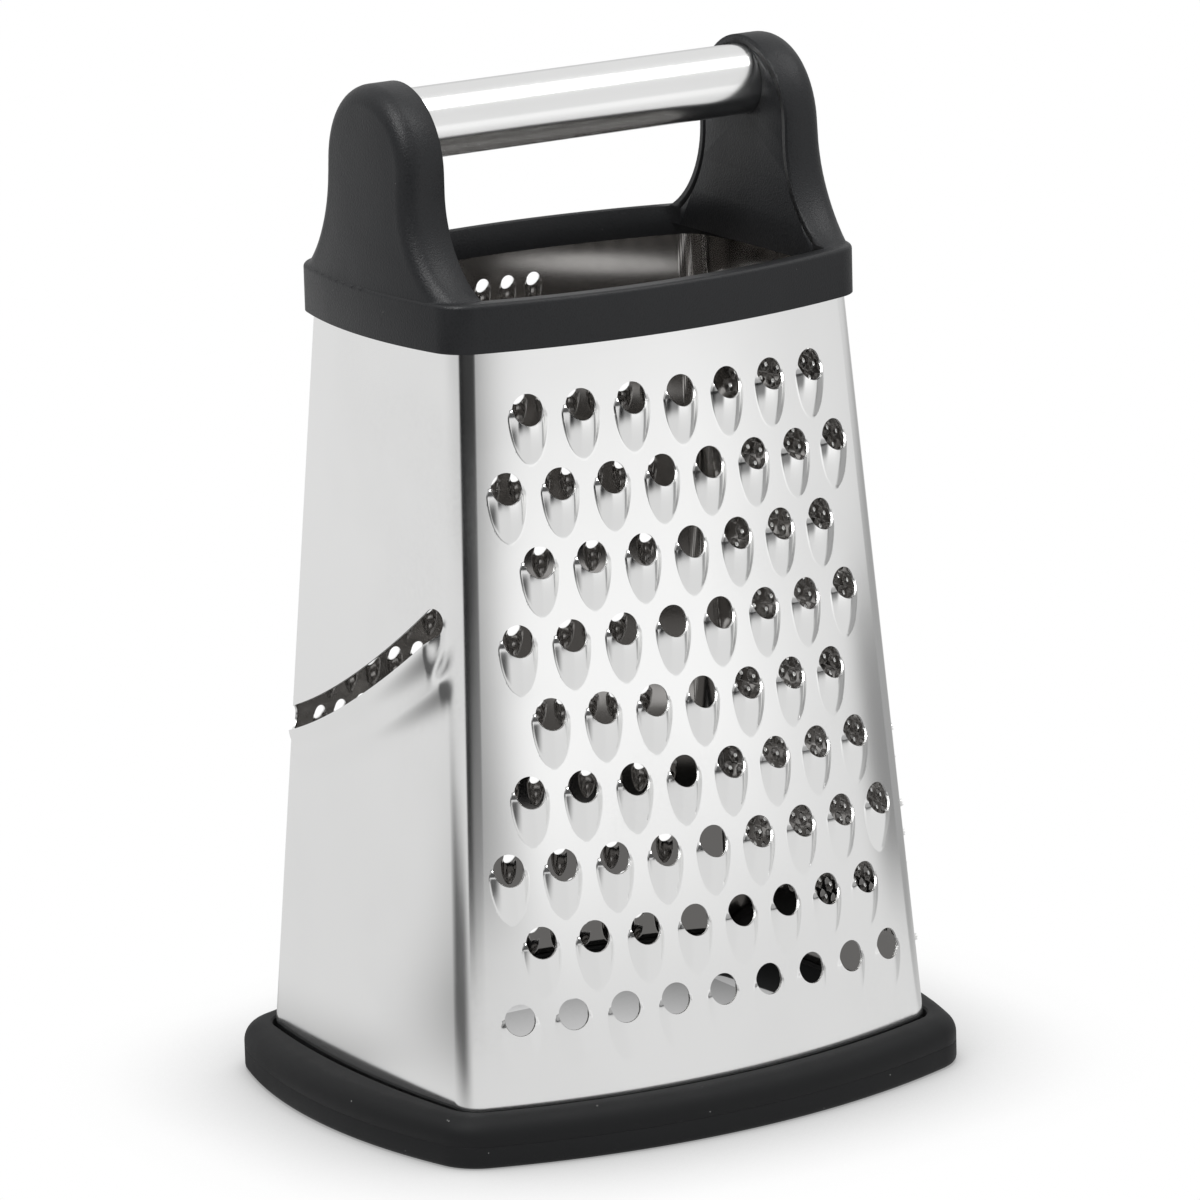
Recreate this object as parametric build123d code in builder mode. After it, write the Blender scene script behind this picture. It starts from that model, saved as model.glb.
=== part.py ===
"""Four-sided box grater: a tapered steel body, a moulded top frame with a tube handle, a rubber base ring.

Frame: +Z up, origin on the table under the middle of the base. The coarse face looks along -Y,
the medium face along +Y, the slicing face along -X and the zesting face along +X. Millimetres.
"""
from build123d import *
from math import asin, cos, degrees, sin, sqrt
import os

os.makedirs("parts", exist_ok=True)

# Steel body, measured on its outside
body_low_z = 12.5
body_high_z = 193.4
width_low, width_high = 141.5, 120.4
depth_low, depth_high = 118.6, 86.4
front_bow_low, front_bow_high = 10.1, 7.3
side_bow = 3.3
corner_radius = 8.25
sheet = 0.5
blank_thickness = 7.0
sheet_bottom_z = 2.8
sheet_top_z = 201.2

# Coarse face: 71 round holes, each with a raised cutting scoop below it
coarse_hole_radius = 3.8
coarse_pitch_across = 13.4
coarse_pitch_down = 18.2
coarse_top_z = 178.9
coarse_row_counts = (7, 8, 7, 8, 7, 8, 9, 8, 9)
scoop_mouth_radius = 6.25
scoop_tip_radius = 3.6
scoop_length = 13.5
scoop_sink = 3.75

# Medium face: small round holes in staggered rows
medium_hole_radius = 1.9
medium_pitch_across = 7.2
medium_pitch_down = 10.1
medium_top_z = 190.1
medium_rows = 18
medium_margin = 3.0
medium_shift = 2.3
medium_top_reach = 16.0

# Zesting face: small pierced holes in staggered rows
zest_hole_radius = 0.8
zest_pitch_across = 4.8
zest_pitch_down = 3.8
zest_top_z = 182.2
zest_rows = 41
zest_margin = 2.0

# Slicing face: one slanted slot, its lower edge raised as a blade (y, z along the edge)
blade_back = (36.0, 88.4)
blade_middle = (3.8, 101.7)
blade_front = (-31.0, 124.7)
slot_width = 6.5
blade_rise = 2.6
blade_belly = 0.72
blade_blend = 9.0
blade_sink = 0.1
blade_root = 0.4
blade_window = 5.5

# Lengths of the punches and cutting solids, and how far they run past what they cut
punch_length = 3.0
overshoot = 1.0

# Top frame
collar_bottom_z = 193.5
rim_z = 205.3
top_z = 253.0
collar_stand_off = 2.2
rim_inset = 1.9
lip_bottom_z = 198.0
inner_face_x = 48.5
upright_draft = 3.1
arch_radius = 19.5
flare_radius = 26.0
flare_z = 229.0
upright_wall = 2.4
upright_edge_round = 5.0
rim_round = 1.2
cover_thickness = 2.0
cover_bottom_z = 201.2
fit_gap = 0.1
sheet_gap = 0.15

# Handle tube
tube_z = 242.2
tube_radius = 8.7
tube_wall = 0.8
tube_half_length = 54.0
boss_end_x = 46.0
boss_root_x = 58.0
boss_shoulder = 0.7

# Base ring
ring_height = 12.3
ring_width, ring_depth = 163.0, 135.6
ring_front_bow, ring_side_bow = 11.0, 6.6
ring_corner = 14.0
ring_shoulder = 5.0
ring_foot_round = 1.5
ring_gap = 0.9
ring_lip = 3.0
ring_lip_top_z = 11.0


def at_height(low, high, z):
    """A body size at height z, carried straight on past the two measured heights."""
    return low + (high - low) * (z - body_low_z) / (body_high_z - body_low_z)


def core_sizes(z):
    """Half width, half depth and bows of the figure that the corner radius is rolled around."""
    half_width = at_height(width_low, width_high, z) / 2 - corner_radius
    half_depth = at_height(depth_low, depth_high, z) / 2 - corner_radius
    return half_width, half_depth, at_height(front_bow_low, front_bow_high, z), side_bow


def arc_of(half_chord, bow):
    """Radius and half angle of a shallow arc from its half chord and its bow."""
    radius = (half_chord**2 + bow**2) / (2 * bow)
    return radius, asin(half_chord / radius)


def bowed_outline(z, half_width, half_depth, front_bow, bow, roll):
    """A rectangle with four bowed sides at height z, with its corners rolled by a radius."""
    corner_x, corner_y = half_width - bow, half_depth - front_bow
    with BuildSketch(Plane.XY.offset(z)) as outline:
        with BuildLine():
            ThreePointArc((-corner_x, -corner_y), (0, -half_depth), (corner_x, -corner_y))
            ThreePointArc((corner_x, -corner_y), (half_width, 0), (corner_x, corner_y))
            ThreePointArc((corner_x, corner_y), (0, half_depth), (-corner_x, corner_y))
            ThreePointArc((-corner_x, corner_y), (-half_width, 0), (-corner_x, -corner_y))
        make_face()
        offset(amount=roll)
    return outline.sketch


def body_outline(z, stand_off=0.0):
    """The body's outside at height z, grown by a stand-off."""
    return bowed_outline(z, *core_sizes(z), corner_radius + stand_off)


def wide_panel_section(z, side):
    """A thick blank of one wide face at height z; side is -1 for the front and 1 for the back."""
    half_width, half_depth, bow, end_bow = core_sizes(z)
    radius, half_angle = arc_of(half_width - end_bow, bow)
    centre = (0, side * (half_depth - radius))
    start = (-90 if side < 0 else 90) - degrees(half_angle)
    with BuildSketch(Plane.XY.offset(z)) as section:
        with BuildLine():
            outer = CenterArc(centre, radius + corner_radius, start, 2 * degrees(half_angle))
            inner = CenterArc(centre, radius + corner_radius - blank_thickness, start,
                              2 * degrees(half_angle))
            Line(outer @ 0, inner @ 0)
            Line(outer @ 1, inner @ 1)
        make_face()
    return section.sketch


def narrow_panel_section(z, side):
    """A thick blank of one narrow face and its corner bends; side is -1 for left, 1 for right."""
    half_width, half_depth, front_bow, bow = core_sizes(z)
    corner_x, corner_y = half_width - bow, half_depth - front_bow
    _, front_angle = arc_of(corner_x, front_bow)
    radius, half_angle = arc_of(corner_y, bow)
    middle = 0 if side > 0 else 180
    turn = 90 - degrees(front_angle) - degrees(half_angle)
    with BuildSketch(Plane.XY.offset(z)) as section:
        with BuildLine():
            ends = []
            for roll in (corner_radius, corner_radius - blank_thickness):
                low = (side * corner_x, -side * corner_y)
                high = (side * corner_x, side * corner_y)
                face_start = middle - degrees(half_angle)
                first = CenterArc(low, roll, face_start - turn, turn)
                CenterArc((side * (half_width - radius), 0), radius + roll, face_start,
                          2 * degrees(half_angle))
                last = CenterArc(high, roll, middle + degrees(half_angle), turn)
                ends.append((first @ 0, last @ 1))
            Line(ends[0][0], ends[1][0])
            Line(ends[0][1], ends[1][1])
        make_face()
    return section.sketch


def wide_face_place(across, z, side):
    """Location on the outside of a wide face: X along the sheet, Y up it, Z out of it."""
    half_width, half_depth, bow, end_bow = core_sizes(z)
    radius, _ = arc_of(half_width - end_bow, bow)
    outer = radius + corner_radius
    angle = across / outer
    x = outer * sin(angle)
    y = side * (half_depth - radius + outer * cos(angle))
    lean = (depth_low - depth_high) / 2 / (body_high_z - body_low_z)
    out = Vector(sin(angle), side * cos(angle), lean)
    along = Vector(-side * cos(angle), sin(angle), 0)
    return Plane(origin=(x, y, z), x_dir=along, z_dir=out).location


def narrow_face_arc(z):
    """Centre, as a distance along X, and outside radius of a narrow face's bow at height z."""
    half_width, half_depth, front_bow, bow = core_sizes(z)
    radius, _ = arc_of(half_depth - front_bow, bow)
    return half_width - radius, radius + corner_radius


def narrow_face_point(y, z, side):
    """A point on the outside of a narrow face."""
    centre, outer = narrow_face_arc(z)
    return Vector(side * (centre + sqrt(outer**2 - y**2)), y, z)


def narrow_face_place(y, z, side):
    """Location on the outside of a narrow face: X along the sheet, Y up it, Z out of it."""
    _, outer = narrow_face_arc(z)
    lean = (width_low - width_high) / 2 / (body_high_z - body_low_z)
    out = Vector(side * sqrt(1 - (y / outer) ** 2), y / outer, lean)
    return Plane(origin=narrow_face_point(y, z, side), x_dir=(0, side, 0), z_dir=out).location


def staggered(counts, pitch_across, pitch_down, first_z):
    """Centres of staggered rows of holes, as distance across the face and height."""
    for row, count in enumerate(counts):
        for column in range(count):
            yield (column - (count - 1) / 2) * pitch_across, first_z - row * pitch_down


def filled_rows(rows, margin, pitch_across, pitch_down, first_z, half_width_at, shift=0.0, top_reach=None):
    """Centres of staggered rows that fill a face to its margins, the first one half a pitch aside.

    The first row may stop at a shorter reach of its own.
    """
    for row in range(rows):
        z = first_z - row * pitch_down
        reach = half_width_at(z) - margin
        if row == 0 and top_reach:
            reach = top_reach
        aside = shift + (pitch_across / 2 if row % 2 == 0 else 0.0)
        most = int(reach / pitch_across) + 1
        for column in range(-most, most + 1):
            if abs(aside + column * pitch_across) <= reach:
                yield aside + column * pitch_across, z


def wide_half(z):
    """Half width of the flat part of a wide face."""
    half_width, _, _, bow = core_sizes(z)
    return half_width - bow


def narrow_half(z):
    """Half width of the flat part of a narrow face."""
    _, half_depth, bow, _ = core_sizes(z)
    return half_depth - bow


def frame_outline(z, stand_off, draw_in=0.0):
    """The frame's outside: the body's top outline grown by a stand-off, its ends drawn in by a draft."""
    half_width, half_depth, front_bow, bow = core_sizes(body_high_z)
    return bowed_outline(z, half_width - draw_in, half_depth, front_bow, bow, corner_radius + stand_off)


def bell_outline(inset=0.0, foot_z=collar_bottom_z, at_x=0.0):
    """The side view of an upright, seen along X: a round arch on flared feet, drawn in by an inset."""
    arch_z = top_z - arch_radius
    radius = arch_radius - inset
    flare = flare_radius + inset
    foot_y = radius + flare - sqrt(flare**2 - (flare_z - rim_z) ** 2)
    turn = asin((flare_z - rim_z) / flare) / 2
    knee = (radius + flare * (1 - cos(turn)), flare_z - flare * sin(turn))
    with BuildSketch(Plane.YZ.offset(at_x)) as bell:
        with BuildLine():
            Polyline((foot_y, rim_z), (foot_y, foot_z), (-foot_y, foot_z), (-foot_y, rim_z))
            ThreePointArc((-foot_y, rim_z), (-knee[0], knee[1]), (-radius, flare_z))
            Line((-radius, flare_z), (-radius, arch_z))
            ThreePointArc((-radius, arch_z), (0, arch_z + radius), (radius, arch_z))
            Line((radius, arch_z), (radius, flare_z))
            ThreePointArc((radius, flare_z), (knee[0], knee[1]), (foot_y, rim_z))
        make_face()
    return bell.sketch


def ring_outline(z):
    """The base ring's outside."""
    return bowed_outline(z, ring_width / 2 - ring_corner, ring_depth / 2 - ring_corner,
                         ring_front_bow, ring_side_bow, ring_corner)


def panel_blank(section, side):
    """The two end sections of one panel's blank."""
    return [section(sheet_bottom_z, side), section(sheet_top_z, side)]


with BuildPart() as inner_space:
    loft([body_outline(sheet_bottom_z - overshoot, -sheet),
          body_outline(sheet_top_z + overshoot, -sheet)], ruled=True)

# Coarse grating panel, the front: a hollow half cone stands out below each hole
coarse_places = [wide_face_place(across, z, -1) for across, z in staggered(
    coarse_row_counts, coarse_pitch_across, coarse_pitch_down, coarse_top_z)]
scoop_places = [place * Location((0, 0, -scoop_sink), (90, 0, 0)) for place in coarse_places]
from_mouth = (Align.CENTER, Align.CENTER, Align.MIN)
with BuildPart() as coarse_grating_panel:
    loft(panel_blank(wide_panel_section, -1), ruled=True)
    with Locations(*scoop_places):
        Cone(scoop_mouth_radius, scoop_tip_radius, scoop_length, align=from_mouth)
    add(inner_space.part, mode=Mode.SUBTRACT)
    with Locations(*scoop_places):
        Cone(scoop_mouth_radius - sheet, scoop_tip_radius - sheet, scoop_length - sheet,
             align=from_mouth, mode=Mode.SUBTRACT)
    with Locations(*coarse_places):
        Cylinder(coarse_hole_radius, 2 * scoop_length, mode=Mode.SUBTRACT)

# Medium grating panel, the back
medium_places = [wide_face_place(across, z, 1) for across, z in filled_rows(
    medium_rows, medium_margin, medium_pitch_across, medium_pitch_down, medium_top_z, wide_half,
    medium_shift, medium_top_reach)]
with BuildPart() as medium_grating_panel:
    loft(panel_blank(wide_panel_section, 1), ruled=True)
    add(inner_space.part, mode=Mode.SUBTRACT)
    with Locations(*medium_places):
        Cylinder(medium_hole_radius, punch_length, mode=Mode.SUBTRACT)

# Zesting panel, the right end
zest_places = [narrow_face_place(y, z, 1) for y, z in filled_rows(
    zest_rows, zest_margin, zest_pitch_across, zest_pitch_down, zest_top_z, narrow_half)]
with BuildPart() as zesting_panel:
    loft(panel_blank(narrow_panel_section, 1), ruled=True)
    add(inner_space.part, mode=Mode.SUBTRACT)
    with Locations(*zest_places):
        Cylinder(zest_hole_radius, punch_length, mode=Mode.SUBTRACT)

# Slicing panel, the left end: a slanted window, and below its upper part a raised, bent blade
blade_ends = [narrow_face_point(y, z, -1) for y, z in (blade_back, blade_middle, blade_front)]
with BuildLine() as blade_line:
    ThreePointArc(*blade_ends)
blade_edge = blade_line.edges()[0]
# Across the slot: X stands out of the face, Y runs down it
across_blade = Plane(origin=blade_edge @ 0, x_dir=(-1, 0, 0), z_dir=blade_edge % 0)
with BuildSketch(across_blade) as window_profile:
    with BuildLine():
        Polyline((-punch_length, -slot_width), (overshoot, -slot_width), (overshoot, blade_window),
                 (-punch_length, blade_window), close=True)
    make_face()
with BuildSketch(across_blade) as blade_profile:
    with BuildLine():
        ThreePointArc((blade_rise, 0), (blade_belly * blade_rise, blade_blend / 2),
                      (-blade_sink, blade_blend))
        Line((-blade_sink, blade_blend), (-blade_root, blade_blend))
        ThreePointArc((-blade_root, blade_blend), (blade_belly * blade_rise - sheet, blade_blend / 2),
                      (blade_rise - sheet, 0))
        Line((blade_rise - sheet, 0), (blade_rise, 0))
    make_face()
with BuildPart() as slicing_panel:
    loft(panel_blank(narrow_panel_section, -1), ruled=True)
    add(inner_space.part, mode=Mode.SUBTRACT)
    sweep(window_profile.sketch, path=blade_edge, mode=Mode.SUBTRACT)
    slot_ends = [Plane(origin=blade_edge @ end, x_dir=blade_edge % end, z_dir=(-1, 0, 0)) for end in (0, 1)]
    with Locations(*[Location(plane.location) * Location((0, slot_width / 2, 0)) for plane in slot_ends]):
        Cylinder(slot_width / 2, 2 * punch_length, mode=Mode.SUBTRACT)
    sweep(blade_profile.sketch, path=blade_edge)

# Top frame: one moulding, a collar with two hollow uprights
reach = width_low
with BuildPart() as upright_blank:
    loft([frame_outline(collar_bottom_z, collar_stand_off),
          frame_outline(top_z + overshoot, collar_stand_off, upright_draft)], ruled=True)
    extrude(bell_outline(), amount=reach, both=True, mode=Mode.INTERSECT)
    with Locations((0, 0, collar_bottom_z)):
        Box(2 * inner_face_x, reach, 2 * reach, mode=Mode.SUBTRACT)
    outer_arch = [edge for edge in upright_blank.edges()
                  if abs(edge.center().X) > boss_end_x + cover_thickness + upright_edge_round * 2
                  and edge.center().Z > rim_z + upright_edge_round]
    fillet(outer_arch, upright_edge_round)

with BuildPart() as upright_pocket:
    loft([frame_outline(collar_bottom_z - overshoot, collar_stand_off - upright_wall),
          frame_outline(top_z + overshoot, collar_stand_off - upright_wall, upright_draft)], ruled=True)
    extrude(bell_outline(upright_wall, sheet_top_z), amount=reach, both=True, mode=Mode.INTERSECT)
    Box(2 * inner_face_x - overshoot, reach, 4 * reach, mode=Mode.SUBTRACT)

with BuildPart() as mouth:
    extrude(frame_outline(collar_bottom_z - overshoot, -rim_inset),
            amount=rim_z - collar_bottom_z + 2 * overshoot)
    Box(2 * inner_face_x, reach, 4 * reach, mode=Mode.INTERSECT)

with BuildPart() as sheet_space:
    loft([body_outline(collar_bottom_z - overshoot, sheet_gap), body_outline(sheet_top_z, sheet_gap)],
         ruled=True)

with BuildPart() as lip:
    loft([body_outline(lip_bottom_z, -sheet - sheet_gap),
          body_outline(sheet_top_z + overshoot, -sheet - sheet_gap)], ruled=True)
    extrude(frame_outline(lip_bottom_z - overshoot, -rim_inset), amount=rim_z, mode=Mode.SUBTRACT)

with BuildPart() as top_frame:
    extrude(frame_outline(collar_bottom_z, collar_stand_off), amount=rim_z - collar_bottom_z)
    fillet(top_frame.edges().group_by(Axis.Z)[-1], rim_round)
    add(upright_blank.part)
    add(sheet_space.part, mode=Mode.SUBTRACT)
    add(mouth.part, mode=Mode.SUBTRACT)
    add(upright_pocket.part, mode=Mode.SUBTRACT)
    add(lip.part)
    for side in (-1, 1):
        along = Plane(origin=(side * boss_end_x, 0, tube_z), z_dir=(side, 0, 0))
        with BuildSketch(along):
            Circle(tube_radius - tube_wall - fit_gap)
        extrude(amount=boss_root_x - boss_end_x)
        with BuildSketch(along.offset(inner_face_x - boss_end_x)):
            Circle(tube_radius + fit_gap)
            Circle(tube_radius - tube_wall - fit_gap, mode=Mode.SUBTRACT)
        extrude(amount=tube_half_length - inner_face_x, mode=Mode.SUBTRACT)
        with BuildSketch(along.offset(tube_half_length - boss_end_x)):
            Circle(tube_radius + boss_shoulder)
        extrude(amount=boss_root_x - tube_half_length)

# Cover plates that close the hollow uprights on their inner sides, with a seat for the tube
covers = []
for side in (-1, 1):
    with BuildPart() as cover:
        extrude(bell_outline(upright_wall + fit_gap, cover_bottom_z, side * inner_face_x),
                amount=side * cover_thickness)
        with BuildSketch(Plane.YZ.offset(side * inner_face_x)):
            with Locations((0, tube_z)):
                Circle(tube_radius + fit_gap)
        extrude(amount=side * cover_thickness, mode=Mode.SUBTRACT)
    covers.append(cover)

# Handle tube
with BuildPart() as handle_tube:
    with BuildSketch(Plane.YZ.offset(-tube_half_length)):
        with Locations((0, tube_z)):
            Circle(tube_radius)
            Circle(tube_radius - tube_wall, mode=Mode.SUBTRACT)
    extrude(amount=2 * tube_half_length)

# Base ring: a rubber moulding with a groove that the steel stands in
with BuildPart() as ring_groove:
    loft([body_outline(sheet_bottom_z, ring_gap), body_outline(ring_height + overshoot, ring_gap)],
         ruled=True)

with BuildPart() as ring_lip_part:
    loft([body_outline(0, -sheet - fit_gap), body_outline(ring_lip_top_z, -sheet - fit_gap)], ruled=True)

with BuildPart() as ring_opening:
    loft([body_outline(-overshoot, -sheet - ring_lip),
          body_outline(ring_height + overshoot, -sheet - ring_lip)], ruled=True)

with BuildPart() as base_ring:
    extrude(ring_outline(0), amount=ring_height)
    fillet(base_ring.edges().group_by(Axis.Z)[-1], ring_shoulder)
    fillet(base_ring.edges().group_by(Axis.Z)[0], ring_foot_round)
    add(ring_groove.part, mode=Mode.SUBTRACT)
    add(ring_lip_part.part)
    add(ring_opening.part, mode=Mode.SUBTRACT)

# Every piece is written under its own name
pieces = {
    "coarse_grating_panel": coarse_grating_panel,
    "medium_grating_panel": medium_grating_panel,
    "slicing_panel": slicing_panel,
    "zesting_panel": zesting_panel,
    "top_frame": top_frame,
    "left_upright_cover": covers[0],
    "right_upright_cover": covers[1],
    "handle_tube": handle_tube,
    "base_ring": base_ring,
}
for name, piece in pieces.items():
    piece.part.label = name
    export_step(piece.part, f"parts/{name}.step")
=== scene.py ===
"""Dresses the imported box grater: pressed steel faces, moulded top frame, tube handle and base ring.

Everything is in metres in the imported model's frame: +Z up, the coarse face along -Y, the slicing face
along -X, the medium face along +Y and the zesting face along +X.
"""

import logging
import math
from dataclasses import dataclass, field
from enum import Enum
from typing import Callable, Sequence

import bpy
import numpy as np
from mathutils import Matrix, Vector
from mathutils.geometry import delaunay_2d_cdt


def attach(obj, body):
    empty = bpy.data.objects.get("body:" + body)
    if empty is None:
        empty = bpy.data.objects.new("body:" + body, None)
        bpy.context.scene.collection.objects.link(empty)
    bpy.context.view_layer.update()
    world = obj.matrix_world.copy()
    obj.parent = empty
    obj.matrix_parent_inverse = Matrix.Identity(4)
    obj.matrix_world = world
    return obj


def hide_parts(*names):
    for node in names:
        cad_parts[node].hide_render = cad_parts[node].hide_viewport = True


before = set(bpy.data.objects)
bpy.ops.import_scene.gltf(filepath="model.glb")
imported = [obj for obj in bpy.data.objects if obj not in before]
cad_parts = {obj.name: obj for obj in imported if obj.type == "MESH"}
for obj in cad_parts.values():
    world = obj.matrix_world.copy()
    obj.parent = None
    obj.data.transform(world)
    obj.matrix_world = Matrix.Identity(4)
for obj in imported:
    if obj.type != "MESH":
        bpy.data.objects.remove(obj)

MM = 0.001
log = logging.getLogger("box_grater")
Array = np.ndarray
Pair = tuple[float, float]
Colour = tuple[float, float, float]
Socket, Node, Tree = bpy.types.NodeSocket, bpy.types.Node, bpy.types.NodeTree
Material, Piece = bpy.types.Material, bpy.types.Object


class Slot(Enum):
    """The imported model's material slots."""

    STEEL = "polished_steel"
    PLASTIC = "black_plastic"
    RUBBER = "black_rubber"


class Face(Enum):
    """The side of the body that a wide or narrow face looks to, as a sign on its axis."""

    LOW = -1
    HIGH = 1


@dataclass(frozen=True)
class NodeBook:
    """A node tree with short ways to add and join nodes."""

    tree: Tree

    def add(self, kind: str, **settings: object) -> Node:
        """Adds a node.

        Args:
            kind: the node's type name.
            settings: values for the node's own properties.

        Returns:
            The new node.
        """
        node = self.tree.nodes.new(kind)
        for key, value in settings.items():
            setattr(node, key, value)
        return node

    def join(self, source: Socket, target: Socket) -> None:
        """Links an output to an input."""
        self.tree.links.new(source, target)

    def feed(self, target: Socket, value: object) -> None:
        """Puts a socket or a constant on an input.

        Args:
            target: the input.
            value: the socket or constant.
        """
        if isinstance(value, Socket):
            self.join(value, target)
        else:
            target.default_value = value

    def math(self, operation: str, *values: object) -> Socket:
        """Adds a Math node.

        Args:
            operation: the operation's name.
            values: a socket or a number for each input in turn.

        Returns:
            Its result.
        """
        node = self.add("ShaderNodeMath", operation=operation)
        for socket, value in zip(node.inputs, values):
            self.feed(socket, value)
        return node.outputs[0]

    def ramp(self, value: object, low: float, high: float, to_low: float, to_high: float,
             smooth: bool = False) -> Socket:
        """Maps a value from one range to another.

        Args:
            value: the socket or number mapped.
            low: the start of the range mapped from.
            high: the end of that range.
            to_low: the result at the start.
            to_high: the result at the end.
            smooth: whether the change eases in and out.

        Returns:
            The mapped value, held inside its range.
        """
        node = self.add("ShaderNodeMapRange",
                        interpolation_type="SMOOTHSTEP" if smooth else "LINEAR")
        for name, given in (("Value", value), ("From Min", low), ("From Max", high),
                            ("To Min", to_low), ("To Max", to_high)):
            self.feed(node.inputs[name], given)
        return node.outputs["Result"]

    def rise(self, value: object, low: float, high: float) -> Socket:
        """A share that eases from 0 to 1 as the value goes from low to high."""
        return self.ramp(value, low, high, 0.0, 1.0, smooth=True)

    def fall(self, value: object, low: float, high: float) -> Socket:
        """A share that eases from 1 to 0 as the value goes from low to high."""
        return self.ramp(value, low, high, 1.0, 0.0, smooth=True)

    def blend(self, factor: object, first: object, second: object) -> Socket:
        """Mixes two colours.

        Args:
            factor: how much of the second colour.
            first: the first colour or its socket.
            second: the second colour or its socket.

        Returns:
            The mixed colour.
        """
        node = self.add("ShaderNodeMix", data_type="RGBA")
        self.feed(node.inputs[0], factor)
        self.feed(node.inputs[6], first)
        self.feed(node.inputs[7], second)
        return node.outputs[2]

    def noise(self, place: Socket, scale: object, detail: float) -> Socket:
        """Adds a noise texture.

        Args:
            place: the coordinates it follows.
            scale: its scale.
            detail: its number of octaves.

        Returns:
            The noise value.
        """
        node = self.add("ShaderNodeTexNoise")
        self.join(place, node.inputs["Vector"])
        self.feed(node.inputs["Scale"], scale)
        node.inputs["Detail"].default_value = detail
        node.inputs["Roughness"].default_value = 0.5
        return node.outputs["Fac"]

    def split(self, place: Socket) -> tuple[Socket, ...]:
        """The three numbers of a place or direction.

        Args:
            place: its socket.

        Returns:
            A socket for each number.
        """
        node = self.add("ShaderNodeSeparateXYZ")
        self.join(place, node.inputs[0])
        return tuple(node.outputs)

    def shown(self, share: object, first: Socket, second: Socket) -> Socket:
        """Mixes two shaders.

        Args:
            share: how much of the second shader.
            first: the first shader.
            second: the second shader.

        Returns:
            The mixed shader.
        """
        node = self.add("ShaderNodeMixShader")
        for socket, value in zip(node.inputs, (share, first, second)):
            self.feed(socket, value)
        return node.outputs[0]

    def between(self, share: object, first: object, second: object) -> Socket:
        """A number that goes from the first to the second as the share goes from 0 to 1."""
        change = self.math("SUBTRACT", second, first)
        return self.math("ADD", first, self.math("MULTIPLY", change, share))


def new_group(name: str, inputs: Sequence[str], outputs: Sequence[str]) -> tuple[
        Tree, NodeBook, Node, Node]:
    """Starts a shader group that reads a place and some numbers and gives numbers.

    Args:
        name: the group's name.
        inputs: the names of its number inputs.
        outputs: the names of its number outputs.

    Returns:
        The group, a book for its nodes, its input node and its output node.
    """
    group = bpy.data.node_groups.new(name, "ShaderNodeTree")
    group.interface.new_socket("Place", in_out="INPUT", socket_type="NodeSocketVector")
    for way, names in (("INPUT", inputs), ("OUTPUT", outputs)):
        for key in names:
            group.interface.new_socket(key, in_out=way, socket_type="NodeSocketFloat")
    book = NodeBook(group)
    return group, book, book.add("NodeGroupInput"), book.add("NodeGroupOutput")


@dataclass
class SharedEffects:
    """Shader groups that more than one finish uses."""

    grain: Tree = field(init=False)
    specks: Tree = field(init=False)
    smudges: Tree = field(init=False)

    def __post_init__(self) -> None:
        """Builds the groups once."""
        self.grain = self._build_grain()
        self.specks = self._build_specks()
        self.smudges = self._build_smudges()

    def _build_grain(self) -> Tree:
        """A moulded surface's fine grain over a slow unevenness: a height, and a mask of its pits.

        Returns:
            The group.
        """
        group, book, given, made = new_group("moulded_grain", ("Scale", "Slow Scale"),
                                             ("Height", "Pits"))
        fine = book.noise(given.outputs["Place"], given.outputs["Scale"], 2.0)
        slow = book.noise(given.outputs["Place"], given.outputs["Slow Scale"], 1.0)
        height = book.math("ADD", book.math("MULTIPLY", fine, 0.7), book.math("MULTIPLY", slow, 0.3))
        book.join(height, made.inputs["Height"])
        book.join(book.ramp(fine, 0.36, 0.46, 1.0, 0.0), made.inputs["Pits"])
        return group

    def _build_specks(self) -> Tree:
        """Scattered dust: a mask of small specks, one in each chosen cell of the texture.

        Returns:
            The group.
        """
        group, book, given, made = new_group("dust_specks", ("Scale", "Size", "Amount"), ("Mask",))
        cells = book.add("ShaderNodeTexVoronoi")
        book.join(given.outputs["Place"], cells.inputs["Vector"])
        book.join(given.outputs["Scale"], cells.inputs["Scale"])
        near = book.math("LESS_THAN", cells.outputs["Distance"], given.outputs["Size"])
        parts = book.add("ShaderNodeSeparateColor")
        book.join(cells.outputs["Color"], parts.inputs[0])
        chosen = book.math("LESS_THAN", parts.outputs[0], given.outputs["Amount"])
        book.join(book.math("MULTIPLY", near, chosen), made.inputs["Mask"])
        return group

    def _build_smudges(self) -> Tree:
        """Wiping marks on a polished surface: soft patches broken by fine streaks.

        Returns:
            The group.
        """
        group, book, given, made = new_group("wiping_marks", ("Scale", "Streaks"), ("Mask",))
        patches = book.noise(given.outputs["Place"], given.outputs["Scale"], 3.0)
        streaks = book.noise(given.outputs["Place"], given.outputs["Streaks"], 2.0)
        soft = book.rise(patches, 0.45, 0.75)
        book.join(book.math("MULTIPLY", soft, book.ramp(streaks, 0.3, 0.7, 0.4, 1.0)),
                  made.inputs["Mask"])
        return group


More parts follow.
